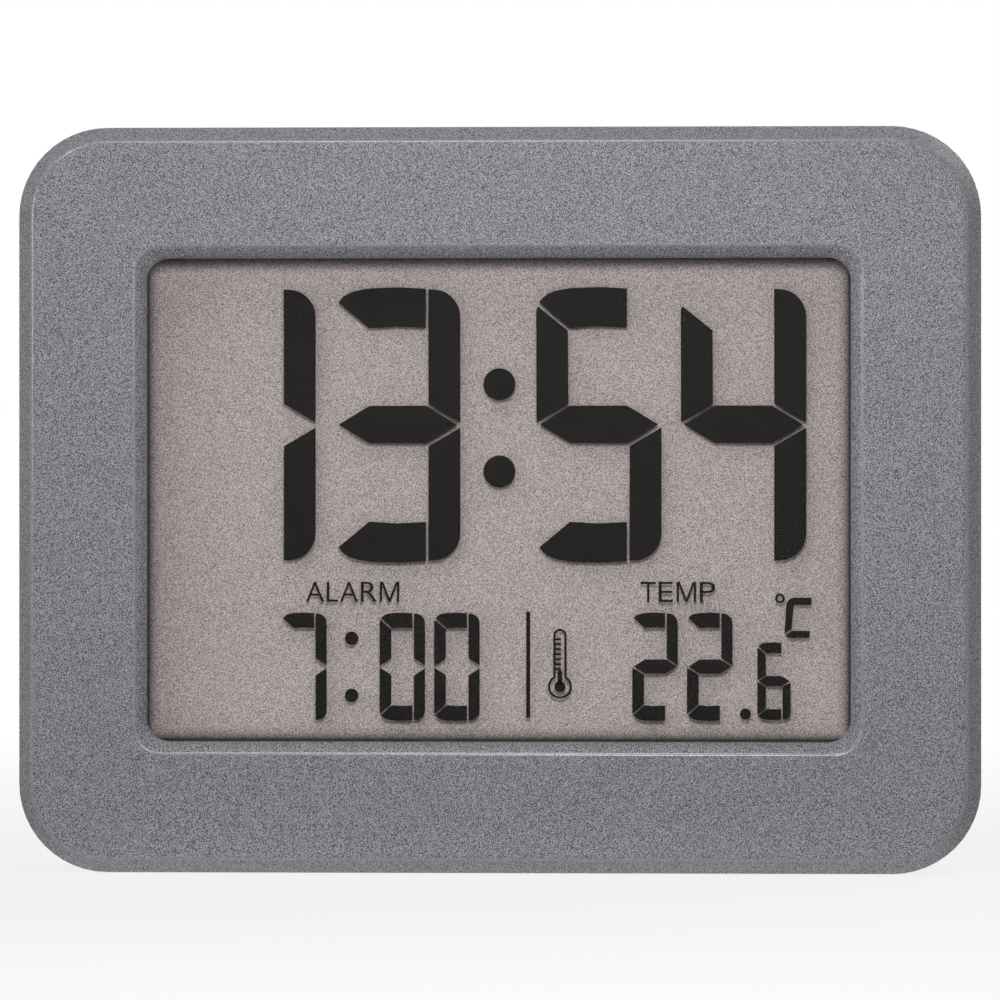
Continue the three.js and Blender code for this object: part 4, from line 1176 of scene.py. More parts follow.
@dataclass
class Display:
    """Window, liquid crystal cell, lit bars and signs, and the reflector behind them."""

    shift: float = 0.02
    digit_width: float = 16.95
    digit_height: float = 37.3
    front: float = 5.4
    thickness: float = 0.15
    pane: Outline = Outline(100.5, 71.0, 2.0)
    gasket_hole: Outline = Outline(96.5, 67.0, 2.9)
    glass: Outline = Outline(100.5, 71.0, 0.6)
    film: Outline = Outline(99.5, 70.0, 0.6)
    shown: Point = (95.1, 65.35)
    upper_bars: dict[Bar, tuple[Corner, ...]] = field(default_factory=lambda: {
        Bar.TOP: (
            Corner(-8.12, 16.72, 0.25), Corner(-6.95, 17.95, 0.9), Corner(-4.4, 18.62, 1.3),
            Corner(0.1, 18.78), Corner(3.82, 18.58), Corner(3.82, 13.22), Corner(-0.2, 13.42),
            Corner(-3.87, 13.18),
        ),
        Bar.UPPER_RIGHT: (
            Corner(4.16, 18.5), Corner(8.48, 18.3, 3.5), Corner(8.48, 0.35), Corner(4.18, 2.88),
        ),
        Bar.UPPER_LEFT: (
            Corner(-8.45, 15.7), Corner(-8.2, 16.12), Corner(-4.17, 12.86), Corner(-4.11, 2.85),
            Corner(-8.42, 0.3),
        ),
        Bar.MIDDLE: (
            Corner(-8.05, 0.04, 0.22), Corner(-3.85, 2.62), Corner(3.85, 2.62), Corner(8.1, 0.04, 0.22),
            Corner(3.85, -2.5), Corner(-3.85, -2.5),
        ),
    })
    mirrored: dict[Bar, Bar] = field(default_factory=lambda: {
        Bar.BOTTOM: Bar.TOP, Bar.LOWER_RIGHT: Bar.UPPER_RIGHT, Bar.LOWER_LEFT: Bar.UPPER_LEFT,
    })
    lit: dict[str, str] = field(default_factory=lambda: {
        "0": "abcdef", "1": "bc", "2": "abged", "3": "abgcd",
        "4": "fgbc", "5": "afgcd", "6": "afgedc", "7": "abc",
    })
    rows: tuple[DigitRow, ...] = (
        DigitRow(16.95, 37.08, 10.17, 0.0, (("1", -33.42), ("3", -13.78), ("5", 13.45), ("4", 33.0))),
        DigitRow(6.2, 14.65, -22.6, 0.04, (("7", -26.5), ("0", -13.15), ("0", -5.75))),
        DigitRow(6.2, 14.65, -22.56, 0.04, (("2", 21.08), ("2", 28.47))),
        DigitRow(4.52, 10.5, -24.5, 0.03, (("6", 37.15),)),
    )
    dots: tuple[Disc, ...] = (
        Disc(2.17, 0.0, 15.67), Disc(2.17, 0.0, 3.87), Disc(0.92, -20.05, -18.75),
        Disc(0.92, -20.05, -26.5), Disc(0.75, 33.3, -28.95),
    )
    divider: Outline = Outline(0.54, 14.4, 0.1, 3.9, -22.3)
    words: tuple[tuple[str, float, float], ...] = (
        ("A", -25.01, 2.47), ("L", -22.64, 1.55), ("A", -20.4, 2.47), ("R", -17.68, 2.23),
        ("M", -14.9, 2.63), ("T", 20.15, 2.09), ("E", 22.52, 1.96), ("M", 25.31, 2.63), ("P", 28.16, 2.09),
    )
    word_foot: float = -13.8
    word_height: float = 2.73
    word_weight: float = -0.006
    upright_width: float = 0.31
    shoulder_width: float = 0.44
    shoulder_depth: float = 0.47
    dip_height: float = 0.5
    dip_half_width: float = 0.13
    degree: Disc = Disc(0.66, 37.95, -13.3)
    degree_hole: Disc = Disc(0.35, 37.95, -13.3)
    scale_letter: tuple[tuple[Corner, ...], ...] = (
        (
            Corner(38.85, -13.2, 1.1), Corner(42.25, -13.2), Corner(42.15, -14.2), Corner(39.8, -14.2),
            Corner(39.5, -17.4), Corner(38.55, -18.1),
        ),
        (
            Corner(39.65, -17.68), Corner(42.0, -17.68), Corner(41.9, -18.65), Corner(39.0, -18.65, 0.3),
            Corner(38.75, -18.3),
        ),
    )
    tube_x: float = 8.2
    tube_top: float = -17.45
    tube_width: float = 1.8
    tube_wall: float = 0.29
    bulb_y: float = -25.28
    bulb_radius: float = 1.62
    first_mark_y: float = -18.85
    mark_pitch: float = 0.68

    def build(self) -> None:
        """Models the sheets in order from the front."""
        pane = Solid().loft(self.pane, slab(2.6, 3.6, 0.12))
        mount(pane.piece("window_pane"), Body.CASE, WINDOW_CLEAR, stands_for=["display_window"])
        bulge = ((4.2, 0.0), (4.08, -0.1), (3.82, -0.1), (3.7, 0.0))
        rings = [(self.pane, 3.7, 0.0), (self.pane, 4.2, 0.0)]
        rings += [(self.gasket_hole, level, grow) for level, grow in bulge]
        gasket = Solid().hoop(rings)
        mount(gasket.piece("gasket_frame"), Body.CASE, GASKET_BLACK, stands_for=["window_gasket"])
        cell = Solid().loft(self.glass, slab(4.3, 6.5, 0.1))
        sheets = ["front_polariser", "lcd_front_glass", "lcd_rear_glass"]
        mount(cell.piece("display_cell"), Body.CASE, LCD_GLASS, stands_for=sheets)
        mount(self.signs().piece("display_signs"), Body.CASE, SEGMENT_BLACK, stands_for=["segment_layer"])
        low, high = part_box("front_case")
        halves = (size / 2 for size in self.shown)
        satin = ReflectorFilm("reflector_satin", "reflector_taupe", FILM_TONE, *halves, (low.z + high.z) / 2)
        mirror = Solid().loft(self.film, slab(6.6, 6.8, 0.05))
        mount(mirror.piece("reflector_sheet"), Body.CASE, satin, stands_for=["reflector_film"])

    def signs(self) -> Solid:
        """Models the lit bars, dots, words and signs.

        Returns:
            All of them as thin plates.
        """
        solid = Solid()
        back = self.front + self.thickness
        for row in self.rows:
            size = Matrix.Diagonal((row.width / self.digit_width, row.height / self.digit_height, 1.0, 1.0))
            for digit, x in row.digits:
                place = Matrix.Translation((x, row.y, 0.0)) @ size
                for letter in self.lit[digit]:
                    self.bar(solid, Bar(letter), place, row.shrink)
        for shape in (*self.dots, self.divider):
            solid.loft(shape, straight(self.front, back))
        for letter, x, width in self.words:
            if letter == "M":
                self.deep_m(solid, x, width)
                continue
            place = Matrix.Translation((x, self.word_foot, -back))
            solid.letters(letter, width, self.word_height, place, self.thickness, self.word_weight)
        ring = [(self.degree, self.front, 0.0), (self.degree, back, 0.0)]
        hole = [(self.degree_hole, back, 0.0), (self.degree_hole, self.front, 0.0)]
        solid.hoop(ring + hole)
        for corners in self.scale_letter:
            solid.plate(corners, self.front, back)
        self.thermometer(solid)
        bmesh.ops.translate(solid.bm, verts=solid.bm.verts, vec=(self.shift, 0.0, 0.0))
        return solid

    def bar(self, solid: Solid, bar: Bar, place: Matrix, shrink: float) -> None:
        """Adds one bar of a digit.

        Args:
            solid: Signs in work.
            bar: Which bar.
            place: Placing and size of the digit.
            shrink: How far the bar's edge is drawn in.
        """
        upper = self.mirrored.get(bar, bar)
        turn = Matrix.Diagonal((1.0, -1.0, 1.0, 1.0)) if bar in self.mirrored else STILL
        solid.plate(self.upper_bars[upper], self.front, self.front + self.thickness, place @ turn, shrink)

    def deep_m(self, solid: Solid, x: float, width: float) -> None:
        """Adds a letter M whose middle reaches down to the foot of the line.

        Args:
            solid: Signs in work.
            x: Middle of the letter.
            width: Its width.
        """
        side, top = width / 2, self.word_height
        inner = side - self.upright_width
        right = (
            (self.dip_half_width, 0.0), (inner, top - self.shoulder_depth), (inner, 0.0),
            (side, 0.0), (side, top), (side - self.shoulder_width, top),
        )
        left = [(-across, up) for across, up in reversed(right)]
        points = (*right, (0.0, self.dip_height), *left)
        corners = [Corner(x + across, self.word_foot + up) for across, up in points]
        solid.plate(corners, self.front, self.front + self.thickness)

    def thermometer(self, solid: Solid) -> None:
        """Adds the outline of a thermometer with its filling and marks.

        Args:
            solid: Signs in work.
        """
        x, top, bulb = self.tube_x, self.tube_top, self.bulb_y
        back = self.front + self.thickness
        film = straight(self.front, back)
        through = [(self.front - 1.0, -self.tube_wall), (back + 1.0, -self.tube_wall)]
        tube = Outline(self.tube_width, top - bulb, 0.88, x, (top + bulb) / 2)
        ball = Disc(self.bulb_radius, x, bulb)
        glass = Solid().loft(tube, film).merge(Join.ADD, ball, film)
        for hollow in (tube, ball):
            glass.merge(Join.CUT, hollow, through)
        solid.absorb(glass)
        solid.loft(Disc(0.75, x, bulb), film)
        solid.loft(Outline(0.62, 1.9, 0.28, x, bulb + 1.25), film)
        for i in range(7):
            solid.loft(Outline(0.8, 0.32, 0.05, x - 0.26, self.first_mark_y - self.mark_pitch * i), film)


@dataclass
class RearCover:
    """Rear half of the case with its bays, holes and slots."""

    outside: Outline = Outline(130.0, 100.8, 12.0, steps=10)
    back: float = 27.0
    inside: float = 25.0
    through: float = 24.0
    key_through: float = 22.0
    stand_floor: float = 24.0
    bay_floor: float = 12.8
    dip_floor: float = 25.8
    keyhole_floor: float = 24.5
    screw_floor: float = 19.2
    stand: Outline = Outline(34.6, 61.6, 1.2, 0.0, -23.2)
    stand_box: Outline = Outline(39.0, 57.9, 0.5, 0.0, -19.35)
    bay: Outline = Outline(23.3, 52.2, 0.8, BAY_X, BAY_Y)
    bay_box: Outline = Outline(25.9, 54.8, 1.0, BAY_X, BAY_Y)
    bay_foot: float = -35.2
    thumb_dip: Outline = Outline(11.0, 4.5, 1.6, BAY_X, 18.35)
    panel: Outline = Outline(17.0, 45.0, 2.5, PANEL_X, -11.0)
    panel_box: Outline = Outline(20.0, 48.0, 4.0, PANEL_X, -11.0)
    slider_slot: Outline = Outline(10.0, 3.6, 0.8, PANEL_X, SLIDER_Y)
    snooze_slot: Outline = Outline(34.0, 6.6, 2.3, 0.0, SNOOZE_DEPTH)
    keyhole: Disc = Disc(4.0, 0.0, 32.0)
    keyhole_neck: Outline = Outline(4.0, 8.5, 2.0, 0.0, 36.25)
    keyhole_box: Outline = Outline(15.0, 17.5, 0.5, 0.0, 35.2)
    keyhole_room: Outline = Outline(12.0, 14.5, 0.5, 0.0, 35.2)
    sound_y: float = 29.0
    sound_reach: float = 5.5
    air_y: float = 32.0
    air_pitch: float = 3.6
    screw_x: float = 56.0
    screw_y: float = 41.0
    hinge_depth: float = 25.6
    hinge_reach: float = 18.85

    def build(self) -> None:
        """Models the cover, then its housings, then its openings."""
        solid = self.tub()
        solid.join(Join.ADD, self.housings())
        solid.join(Join.CUT, self.openings())
        solid.join(Join.ADD, self.ledges())
        solid.join(Join.CUT, self.holes())
        solid.merge(Join.CUT, self.keyhole_room, straight(21.0, self.inside + 0.02))
        mount(solid.piece("rear_shell"), Body.CASE, CASE_GREY, stands_for=["rear_cover"])

    def corners(self) -> list[Point]:
        """Gives the places of the four case screws."""
        return [(x, y) for x in (-self.screw_x, self.screw_x) for y in (-self.screw_y, self.screw_y)]

    def tub(self) -> Solid:
        """Models the hollow cover with its tongue and rounded shoulder.

        Returns:
            The cover without housings or openings.
        """
        inner = bend((self.inside, -6.0), (self.inside, -2.0), (20.0, -2.0), 8)
        tongue = [(11.0, -2.0), (11.0, -3.2), (7.8, -3.2), (7.8, -2.2), (9.8, -2.2)]
        seam = [(9.8, -0.25), (10.05, 0.0)]
        outer = bend((21.0, 0.0), (self.back, 0.0), (self.back, -4.0), 12)
        return Solid().loft(self.outside, [*inner, *tongue, *seam, *outer])

    def housings(self) -> Solid:
        """Models the boxes behind the stand, the keys, the keyhole and the battery bay, and the screw tubes.

        Returns:
            The housings, each apart from the others.
        """
        boxes = [(self.stand_box, 22.0), (self.panel_box, 23.8), (self.keyhole_box, 19.5)]
        boxes += [(Disc(3.4, x, y), 17.2) for x, y in self.corners()]
        boxes += [(self.bay_box, 11.8)]
        solid = Solid()
        for shape, front in boxes:
            solid.loft(shape, straight(front, self.inside + 0.2))
        return solid

    def ledges(self) -> Solid:
        """Models the four ledges that the battery door rests on.

        Returns:
            The ledges.
        """
        solid = Solid()
        for side in (-1, 1):
            for end in (-1, 1):
                ledge = Outline(1.4, 4.0, 0.1, BAY_X + side * 11.15, BAY_Y + end * 18.0)
                solid.loft(ledge, straight(23.75, 24.75))
        return solid

    def openings(self) -> Solid:
        """Models the cutters of all openings in the outer surface.

        Returns:
            The cutters, each apart from the others.
        """
        cutters = [(self.stand, self.stand_floor, 0.45), (self.bay, self.bay_floor, 0.3)]
        cutters.append((self.panel, PANEL_FLOOR, 0.4))
        for i in range(7):
            turn = i * math.tau / 6
            reach = self.sound_reach if i < 6 else 0.0
            x, y = PANEL_X + reach * math.cos(turn), self.sound_y + reach * math.sin(turn)
            cutters.append((Disc(1.1, x, y, steps=20), self.through, 0.35))
        cutters.append((self.keyhole, self.keyhole_floor, 0.4))
        for i in range(5):
            slot = Outline(1.6, 11.0, 0.8, BAY_X + self.air_pitch * (i - 2), self.air_y)
            cutters.append((slot, self.through, 0.35))
        cutters += [(Disc(2.8, x, y), self.screw_floor, 0.5) for x, y in self.corners()]
        solid = Solid()
        for shape, floor, lip in cutters:
            solid.loft(shape, flare(self.back, floor, lip))
        top = Matrix.Translation((0.0, self.outside.height / 2, 0.0)) @ ALONG_Y
        return solid.loft(self.snooze_slot, flare(0.0, 4.0, 0.3), top)

    def holes(self) -> Solid:
        """Models the cutters of the holes that start inside an opening or at its edge.

        Returns:
            The cutters, each apart from the others.
        """
        solid = Solid().loft(self.thumb_dip, flare(self.back, self.dip_floor, 0.35))
        for y in KEY_YS.values():
            solid.loft(Outline(9.6, 6.6, 1.8, PANEL_X, y), flare(PANEL_FLOOR, self.key_through, 0.25))
        solid.loft(self.slider_slot, flare(PANEL_FLOOR, self.key_through, 0.2))
        solid.loft(self.keyhole_neck, flare(self.back, self.keyhole_floor, 0.35))
        for x, y in self.corners():
            solid.loft(Disc(1.5, x, y), straight(16.0, 20.0))
        for side in (-1, 1):
            hook = Outline(3.2, 2.4, 0.1, BAY_X + side * HOOK_X, self.bay_foot)
            solid.loft(hook, straight(23.4, 25.3))
            slit = Outline(3.6, 3.0, 0.1, BAY_X + side * CELL_X, self.bay_foot)
            solid.loft(slit, straight(14.9, 16.1))
        pin = Matrix.Translation((0.0, HINGE_Y, -self.hinge_depth)) @ ALONG_X
        return solid.loft(Disc(1.05), straight(-self.hinge_reach, self.hinge_reach), pin)


@dataclass
class StandLeg:
    """Fold-out leg in the back."""

    width: float = 34.0
    foot_y: float = -45.5
    front: float = 24.3
    back: float = 26.9
    pin_radius: float = 0.9
    pin_reach: float = 18.7
    foot_corner: float = 4.0
    rim_round: float = 0.4

    def build(self) -> None:
        """Models the leg with its knuckle, pins and finger grooves."""
        half, reach = self.width / 2, self.pin_reach
        axis = Matrix.Translation((0.0, HINGE_Y, -(self.front + self.back) / 2)) @ ALONG_X
        solid = self.leaf()
        solid.merge(Join.ADD, Disc((self.back - self.front) / 2), slab(-half, half, 0.3), axis)
        solid.merge(Join.ADD, Disc(self.pin_radius), slab(-reach, reach, 0.2), axis)
        grooves = Solid()
        for i in range(3):
            groove = Outline(14.0, 0.8, 0.38, 0.0, self.foot_y + 2.5 + 2.0 * i)
            grooves.loft(groove, flare(self.back, self.back - 0.5, 0.15))
        solid.join(Join.CUT, grooves)
        mount(solid.piece("stand_foot"), Body.STAND, CASE_GREY, stands_for=["stand_leg"])

    def leaf(self) -> Solid:
        """Models the flat leaf with its rounded foot.

        Returns:
            The leaf from its hinge line down.
        """
        solid = Solid()
        made = bmesh.ops.create_cube(solid.bm, size=1.0)
        size = Matrix.Diagonal((self.width, HINGE_Y - self.foot_y, self.back - self.front, 1.0))
        middle = Vector((0.0, (HINGE_Y + self.foot_y) / 2, -(self.front + self.back) / 2))
        bmesh.ops.transform(solid.bm, matrix=Matrix.Translation(middle) @ size, verts=made["verts"])
        foot = [edge for edge in solid.bm.edges if lies_at(edge, self.foot_y)]
        corners = [edge for edge in foot if abs(edge.verts[0].co.x - edge.verts[1].co.x) < NEAR]
        soften(solid.bm, corners, self.foot_corner, steps=8, what=Round.EDGES)
        sharp = [edge for edge in solid.bm.edges if edge.calc_face_angle(0.0) > 1.0]
        rim = [edge for edge in sharp if not lies_at(edge, HINGE_Y)]
        soften(solid.bm, rim, self.rim_round, steps=4, what=Round.EDGES)
        return solid


@dataclass
class BatteryBay:
    """Battery door with its hooks, two cells, their springs and their leads."""

    width: float = 22.7
    height: float = 51.6
    front: float = 24.9
    back: float = 26.8
    edge: float = 0.35
    cell_radius: float = 5.25
    cell_depth: float = 18.5
    spring_wire: float = 0.3
    spring_wide: float = 3.5
    spring_narrow: float = 2.3
    spring_turns: int = 4
    lead_radius: float = 0.55
    routes: dict[str, tuple[tuple[float, float, float], ...]] = field(default_factory=lambda: {
        "battery_lead_black": (
            (29.65, -36.4, 16.4), (29.65, -38.4, 16.4), (28.65, -40.4, 13.8), (28.65, -40.4, 11.4),
        ),
        "battery_lead_red": (
            (40.85, -36.4, 16.4), (40.85, -38.4, 16.4), (39.85, -40.4, 13.8), (39.85, -40.4, 11.4),
        ),
        "buzzer_lead_rim": (
            (-25.5, 27.0, 21.9), (-20.5, 26.0, 19.6), (-18.5, 24.0, 15.3), (-18.5, 24.0, 11.4),
        ),
        "buzzer_lead_middle": (
            (-32.0, 25.0, 21.55), (-26.0, 23.0, 19.25), (-22.5, 22.0, 15.3), (-22.5, 22.0, 11.4),
        ),
    })

    def build(self) -> None:
        """Models the door, the cells, the springs and the leads."""
        self.door()
        for node, upright in (("battery_left", True), ("battery_right", False)):
            self.cell(node, upright)
        for node, upright in (("negative_spring", True), ("link_spring", False)):
            self.spring(node, upright)
        for node, route in self.routes.items():
            points = [Vector((x, y, -depth)) for x, y, depth in route]
            solid = Solid().wire(points, self.lead_radius, 5)
            finish = LEAD_BLACK if node in ("battery_lead_black", "buzzer_lead_rim") else LEAD_RED
            mount(solid.piece(f"{node}_wire", 60.0), Body.CASE, finish, stands_for=[node])

    def door(self) -> None:
        """Models the door with its tongue, grip, arrow and hooks."""
        low, high = BAY_Y - self.height / 2, BAY_Y + self.height / 2
        plate = Outline(self.width, self.height, 0.8, BAY_X, BAY_Y)
        turn = self.back - self.edge
        profile = [(self.front, -0.15), (self.front + 0.15, 0.0)]
        profile += bend((turn, 0.0), (self.back, 0.0), (self.back, -self.edge), 4)
        solid = Solid().loft(plate, profile)
        hooks = Solid()
        for side in (-1, 1):
            x = BAY_X + side * HOOK_X
            reach = Outline(2.6, 2.3, 0.2, x, low - 0.05)
            hooks.loft(reach, [(23.8, -0.15), (23.95, 0.0), (24.9, 0.0)])
            root = Outline(2.6, 1.1, 0.1, x, low + 0.55)
            hooks.loft(root, straight(24.85, 25.4))
        solid.join(Join.ADD, hooks)
        cuts = Solid()
        for side in (-1, 1):
            slit = Outline(0.8, 9.0, 0.35, BAY_X + side * 4.9, high - 3.5)
            cuts.loft(slit, flare(self.back, self.front - 1.0, 0.15))
        for i in range(3):
            groove = Outline(6.0, 0.8, 0.38, BAY_X, high - 1.8 * (i + 1))
            cuts.loft(groove, flare(self.back, self.back - 0.4, 0.15))
        tip = high - 13.0
        foot = tip - 3.6
        arrow = Corner(BAY_X - 3.0, foot), Corner(BAY_X, tip), Corner(BAY_X + 3.0, foot)
        cuts.plate(arrow, self.back - 0.8, self.back + 1.0)
        solid.join(Join.CUT, cuts)
        mount(solid.piece("door_panel"), Body.DOOR, CASE_GREY, stands_for=["battery_door"])

    def cell(self, node: str, upright: bool) -> None:
        """Models one cell with its sleeve, ends and terminal.

        Args:
            node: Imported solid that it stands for.
            upright: Whether its terminal is at the top.
        """
        low, high = span(node)
        length, radius = high.y - low.y, self.cell_radius
        end = length - 1.0
        profile = [(0.0, 0.12), (3.4, 0.12), (3.6, 0.0), (radius - 0.75, 0.0), (radius - 0.6, 0.1)]
        profile += bend((radius - 0.5, 0.1), (radius, 0.1), (radius, 0.55), 5)
        profile += bend((radius, end - 0.75), (radius, end - 0.1), (radius - 0.7, end - 0.1), 5)
        profile += [(radius - 0.8, end - 0.35), (2.5, end - 0.35), (2.3, end - 0.15)]
        profile += bend((1.9, end - 0.15), (1.9, length), (1.4, length), 4)
        profile += [(0.0, length)]
        start, turn = (low.y, -math.pi / 2) if upright else (high.y, math.pi / 2)
        foot = Vector(((low.x + high.x) / 2, start, -self.cell_depth))
        solid = Solid().lathe(profile, Matrix.Translation(foot) @ Matrix.Rotation(turn, 4, "X"), 48)
        for face in solid.bm.faces:
            across = face.calc_center_median() - foot
            face.material_index = int(math.hypot(across.x, across.z) < radius - 0.72)
        bottom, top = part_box(node)
        sleeve = CellSleeve(
            f"{node}_sleeve", "cell_sleeve", SLEEVE_TONE, BAND_TONE, bottom.z, top.z, upright,
        )
        mount(solid.piece(f"{node}_cell"), Body.CASE, sleeve, TINNED_STEEL, stands_for=[node])

    def spring(self, node: str, upright: bool) -> None:
        """Models one cone spring.

        Args:
            node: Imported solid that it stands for.
            upright: Whether its narrow end is at the top.
        """
        low, high = span(node)
        wire, wide, turns = self.spring_wire, self.spring_wide, self.spring_turns
        start, end = (low.y + wire, high.y - wire) if upright else (high.y - wire, low.y + wire)
        middle = BAY_X + (-CELL_X if upright else CELL_X)
        points = []
        for i in range(turns * 16 + 1):
            t = i / (turns * 16)
            radius, angle = wide + (self.spring_narrow - wide) * t, t * turns * math.tau
            x, depth = middle + radius * math.cos(angle), self.cell_depth - radius * math.sin(angle)
            points.append(Vector((x, start + (end - start) * t, -depth)))
        solid = Solid().wire(points, wire, 3)
        mount(solid.piece(f"{node}_coil", 60.0), Body.CASE, TINNED_STEEL, stands_for=[node])


@dataclass
class Keys:
    """Rear keys, the alarm slider, the snooze bar and the printed marks beside them."""

    key_top: float = 26.7
    key_flange: float = 23.65
    slider_x: float = -37.0
    knob: Outline = Outline(5.4, 3.0, 0.5, slider_x, SLIDER_Y)
    slider_flange: Outline = Outline(15.0, 6.0, 0.5, slider_x, SLIDER_Y)
    fork: Outline = Outline(5.0, 3.0, 0.3, slider_x, SLIDER_Y)
    fork_gap: Outline = Outline(2.2, 4.0, 0.1, slider_x, SLIDER_Y)
    snooze_bar: Outline = Outline(33.4, 6.0, 2.0, 0.0, SNOOZE_DEPTH, steps=8)
    snooze_stem: Outline = Outline(4.4, 2.6, 0.3, 0.0, SNOOZE_DEPTH)
    snooze_flange_top: float = 48.25
    marks: tuple[tuple[str, float, float, float, float], ...] = (
        ("MODE", PANEL_X, 9.75, 4.6, 1.1), ("+", PANEL_X, -1.2, 1.3, 1.3), ("-", PANEL_X, -11.9, 1.2, 0.3),
        ("ON", PANEL_X + 5.2, -25.1, 2.0, 1.0), ("OFF", PANEL_X - 4.8, -25.1, 2.6, 1.0),
    )

    def build(self) -> None:
        """Models the keys, the slider, the bar and the marks."""
        for body, y in KEY_YS.items():
            self.key(body, y)
        self.slider()
        self.snooze()
        words = Solid()
        for text, x, y, width, height in self.marks:
            place = Matrix.Translation((x, y, -PANEL_FLOOR)) @ FACING_BACK
            words.letters(text, width, height, place, 0.03)
        mount(words.piece("key_marks"), Body.CASE, MARK_WHITE)

    def key(self, body: Body, y: float) -> None:
        """Models one crowned key with its flange and stem.

        Args:
            body: Body of the key.
            y: Height of its middle on the face.
        """
        foot = span(f"{body.value}_key")[0].z
        flange, top = self.key_flange, self.key_top
        profile = [(flange - 1.3, 1.0), (flange, 1.0), (flange, 0.0)]
        profile += bend((top - 0.75, 0.0), (top - 0.12, 0.0), (top - 0.12, -0.75), 6)
        profile += [(top - 0.05, -1.4), (top, -2.2)]
        solid = Solid().loft(Outline(9.0, 6.0, 1.5, PANEL_X, y), profile)
        stem = [(foot, -0.2), (foot + 0.2, 0.0), (flange - 0.5, 0.0)]
        solid.merge(Join.ADD, Disc(1.6, PANEL_X, y, 24), stem)
        mount(solid.piece(f"{body.value}_cap"), body, KEY_GREY, stands_for=[f"{body.value}_key"])

    def slider(self) -> None:
        """Models the slider with its ribbed knob, flange and fork."""
        front = span("alarm_slider")[0].z
        lever_back = span("alarm_lever")[1].z
        top = self.key_top
        profile = [(23.0, 0.0), *bend((top - 0.3, 0.0), (top, 0.0), (top, -0.3), 4)]
        solid = Solid().loft(self.knob, profile)
        solid.merge(Join.ADD, self.slider_flange, straight(22.5, 23.7))
        grooves = Solid()
        for i in (-1, 0, 1):
            groove = Outline(0.7, 5.0, 0.1, self.slider_x + 1.5 * i, SLIDER_Y)
            grooves.loft(groove, flare(top, top - 0.4, 0.12))
        solid.join(Join.CUT, grooves)
        solid.merge(Join.ADD, self.fork, straight(front, 23.1))
        solid.merge(Join.CUT, self.fork_gap, straight(front - 1.0, lever_back + 0.3))
        mount(solid.piece("slider_knob"), Body.ALARM, KEY_GREY, stands_for=["alarm_slider"])

    def snooze(self) -> None:
        """Models the long bar on the top with its flange and stem."""
        low, high = span("snooze_bar")
        place = Matrix.Translation((0.0, high.y, 0.0)) @ ALONG_Y
        drop = high.y - self.snooze_flange_top
        profile = [(drop + 1.5, 1.2), (drop, 1.2), (drop, 0.0)]
        profile += bend((0.42, 0.0), (0.05, 0.0), (0.05, -0.45), 5) + [(0.0, -1.4)]
        solid = Solid().loft(self.snooze_bar, profile, place)
        solid.merge(Join.ADD, self.snooze_stem, straight(drop + 1.0, high.y - low.y), place)
        mount(solid.piece("snooze_key"), Body.SNOOZE, KEY_GREY, stands_for=["snooze_bar"])


@dataclass
class Works:
    """Screws, contacts and all that stays as packed inside the case."""

    seat: float = 19.3
    finishes: dict[Finish, tuple[str, ...]] = field(default_factory=lambda: {
        HOLDER_WHITE: ("lcd_holder",),
        STRIP_GREY: ("contact_strip_upper", "contact_strip_lower"),
        BOARD_GREEN: ("circuit_board",),
        RESIN_BLACK: ("driver_chip",),
        SWITCH_BLACK: (
            "mode_switch", "plus_switch", "minus_switch", "snooze_switch", "alarm_switch",
            "filter_capacitor", "mode_plunger", "plus_plunger", "minus_plunger", "snooze_plunger",
            "alarm_lever",
        ),
        SENSOR_BROWN: ("bypass_capacitor", "temperature_sensor"),
        TINNED_STEEL: (
            "board_screw_1", "board_screw_2", "board_screw_3", "board_screw_4", "quartz_crystal",
            "link_plate", "negative_plate", "positive_plate",
        ),
        BRASS: ("buzzer_plate",),
        CERAMIC: ("buzzer_ceramic",),
    })

    def build(self) -> None:
        """Models the case screws and dresses the solids that stay as packed."""
        for i in range(4):
            self.screw(f"case_screw_{i + 1}")
        for finish, nodes in self.finishes.items():
            for node in nodes:
                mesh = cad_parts[node].data
                mesh.materials.clear()
                mesh.materials.append(finish.material())
                LOG.info("%s: dressed as %s", node, finish.slot)

    def screw(self, node: str) -> None:
        """Models one case screw with a crowned head and a cross recess.

        Args:
            node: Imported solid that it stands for.
        """
        low, high = span(node)
        x, y = (low.x + high.x) / 2, (low.y + high.y) / 2
        place = Matrix.Translation((x, y, -low.z)) @ Matrix.Rotation(math.pi, 4, "X")
        seat, top = self.seat - low.z, high.z - low.z
        profile = [(0.0, 0.0), (0.5, 0.1), (1.2, 1.4), (1.2, seat - 0.2), (1.35, seat), (2.35, seat)]
        profile += [(2.5, seat + 0.15)]
        profile += bend((2.5, seat + 0.8), (2.3, top), (0.0, top), 7)
        solid = Solid().lathe(profile, place, 32)
        for width, height in ((3.0, 0.75), (0.75, 3.0)):
            recess = [(high.z - 0.95, -0.15), (high.z + 0.5, 0.05)]
            solid.merge(Join.CUT, Outline(width, height, 0.1, x, y), recess)
        mount(solid.piece(f"{node}_turned"), Body.CASE, TINNED_STEEL, stands_for=[node])


@dataclass(frozen=True)
class Lamp:
    """A soft square light: its direction in degrees, its distance and side in metres, and its watts."""

    name: str
    azimuth: float
    elevation: float
    reach: float
    size: float
    power: float

    def light(self, target: Vector) -> None:
        """Adds the light to the scene.

        Args:
            target: Point that it faces, in metres.
        """
        light = bpy.data.lights.new(self.name, "AREA")
        light.size = self.size
        light.energy = self.power
        rise = Matrix.Rotation(-math.radians(self.elevation), 3, "X")
        turn = Matrix.Rotation(math.radians(self.azimuth), 3, "Z") @ rise
        holder = bpy.data.objects.new(self.name, light)
        holder.location = target + turn @ Vector((0.0, -self.reach, 0.0))
        holder.rotation_euler = (target - holder.location).to_track_quat("-Z", "Y").to_euler()
        holder.visible_camera = False
        bpy.context.scene.collection.objects.link(holder)


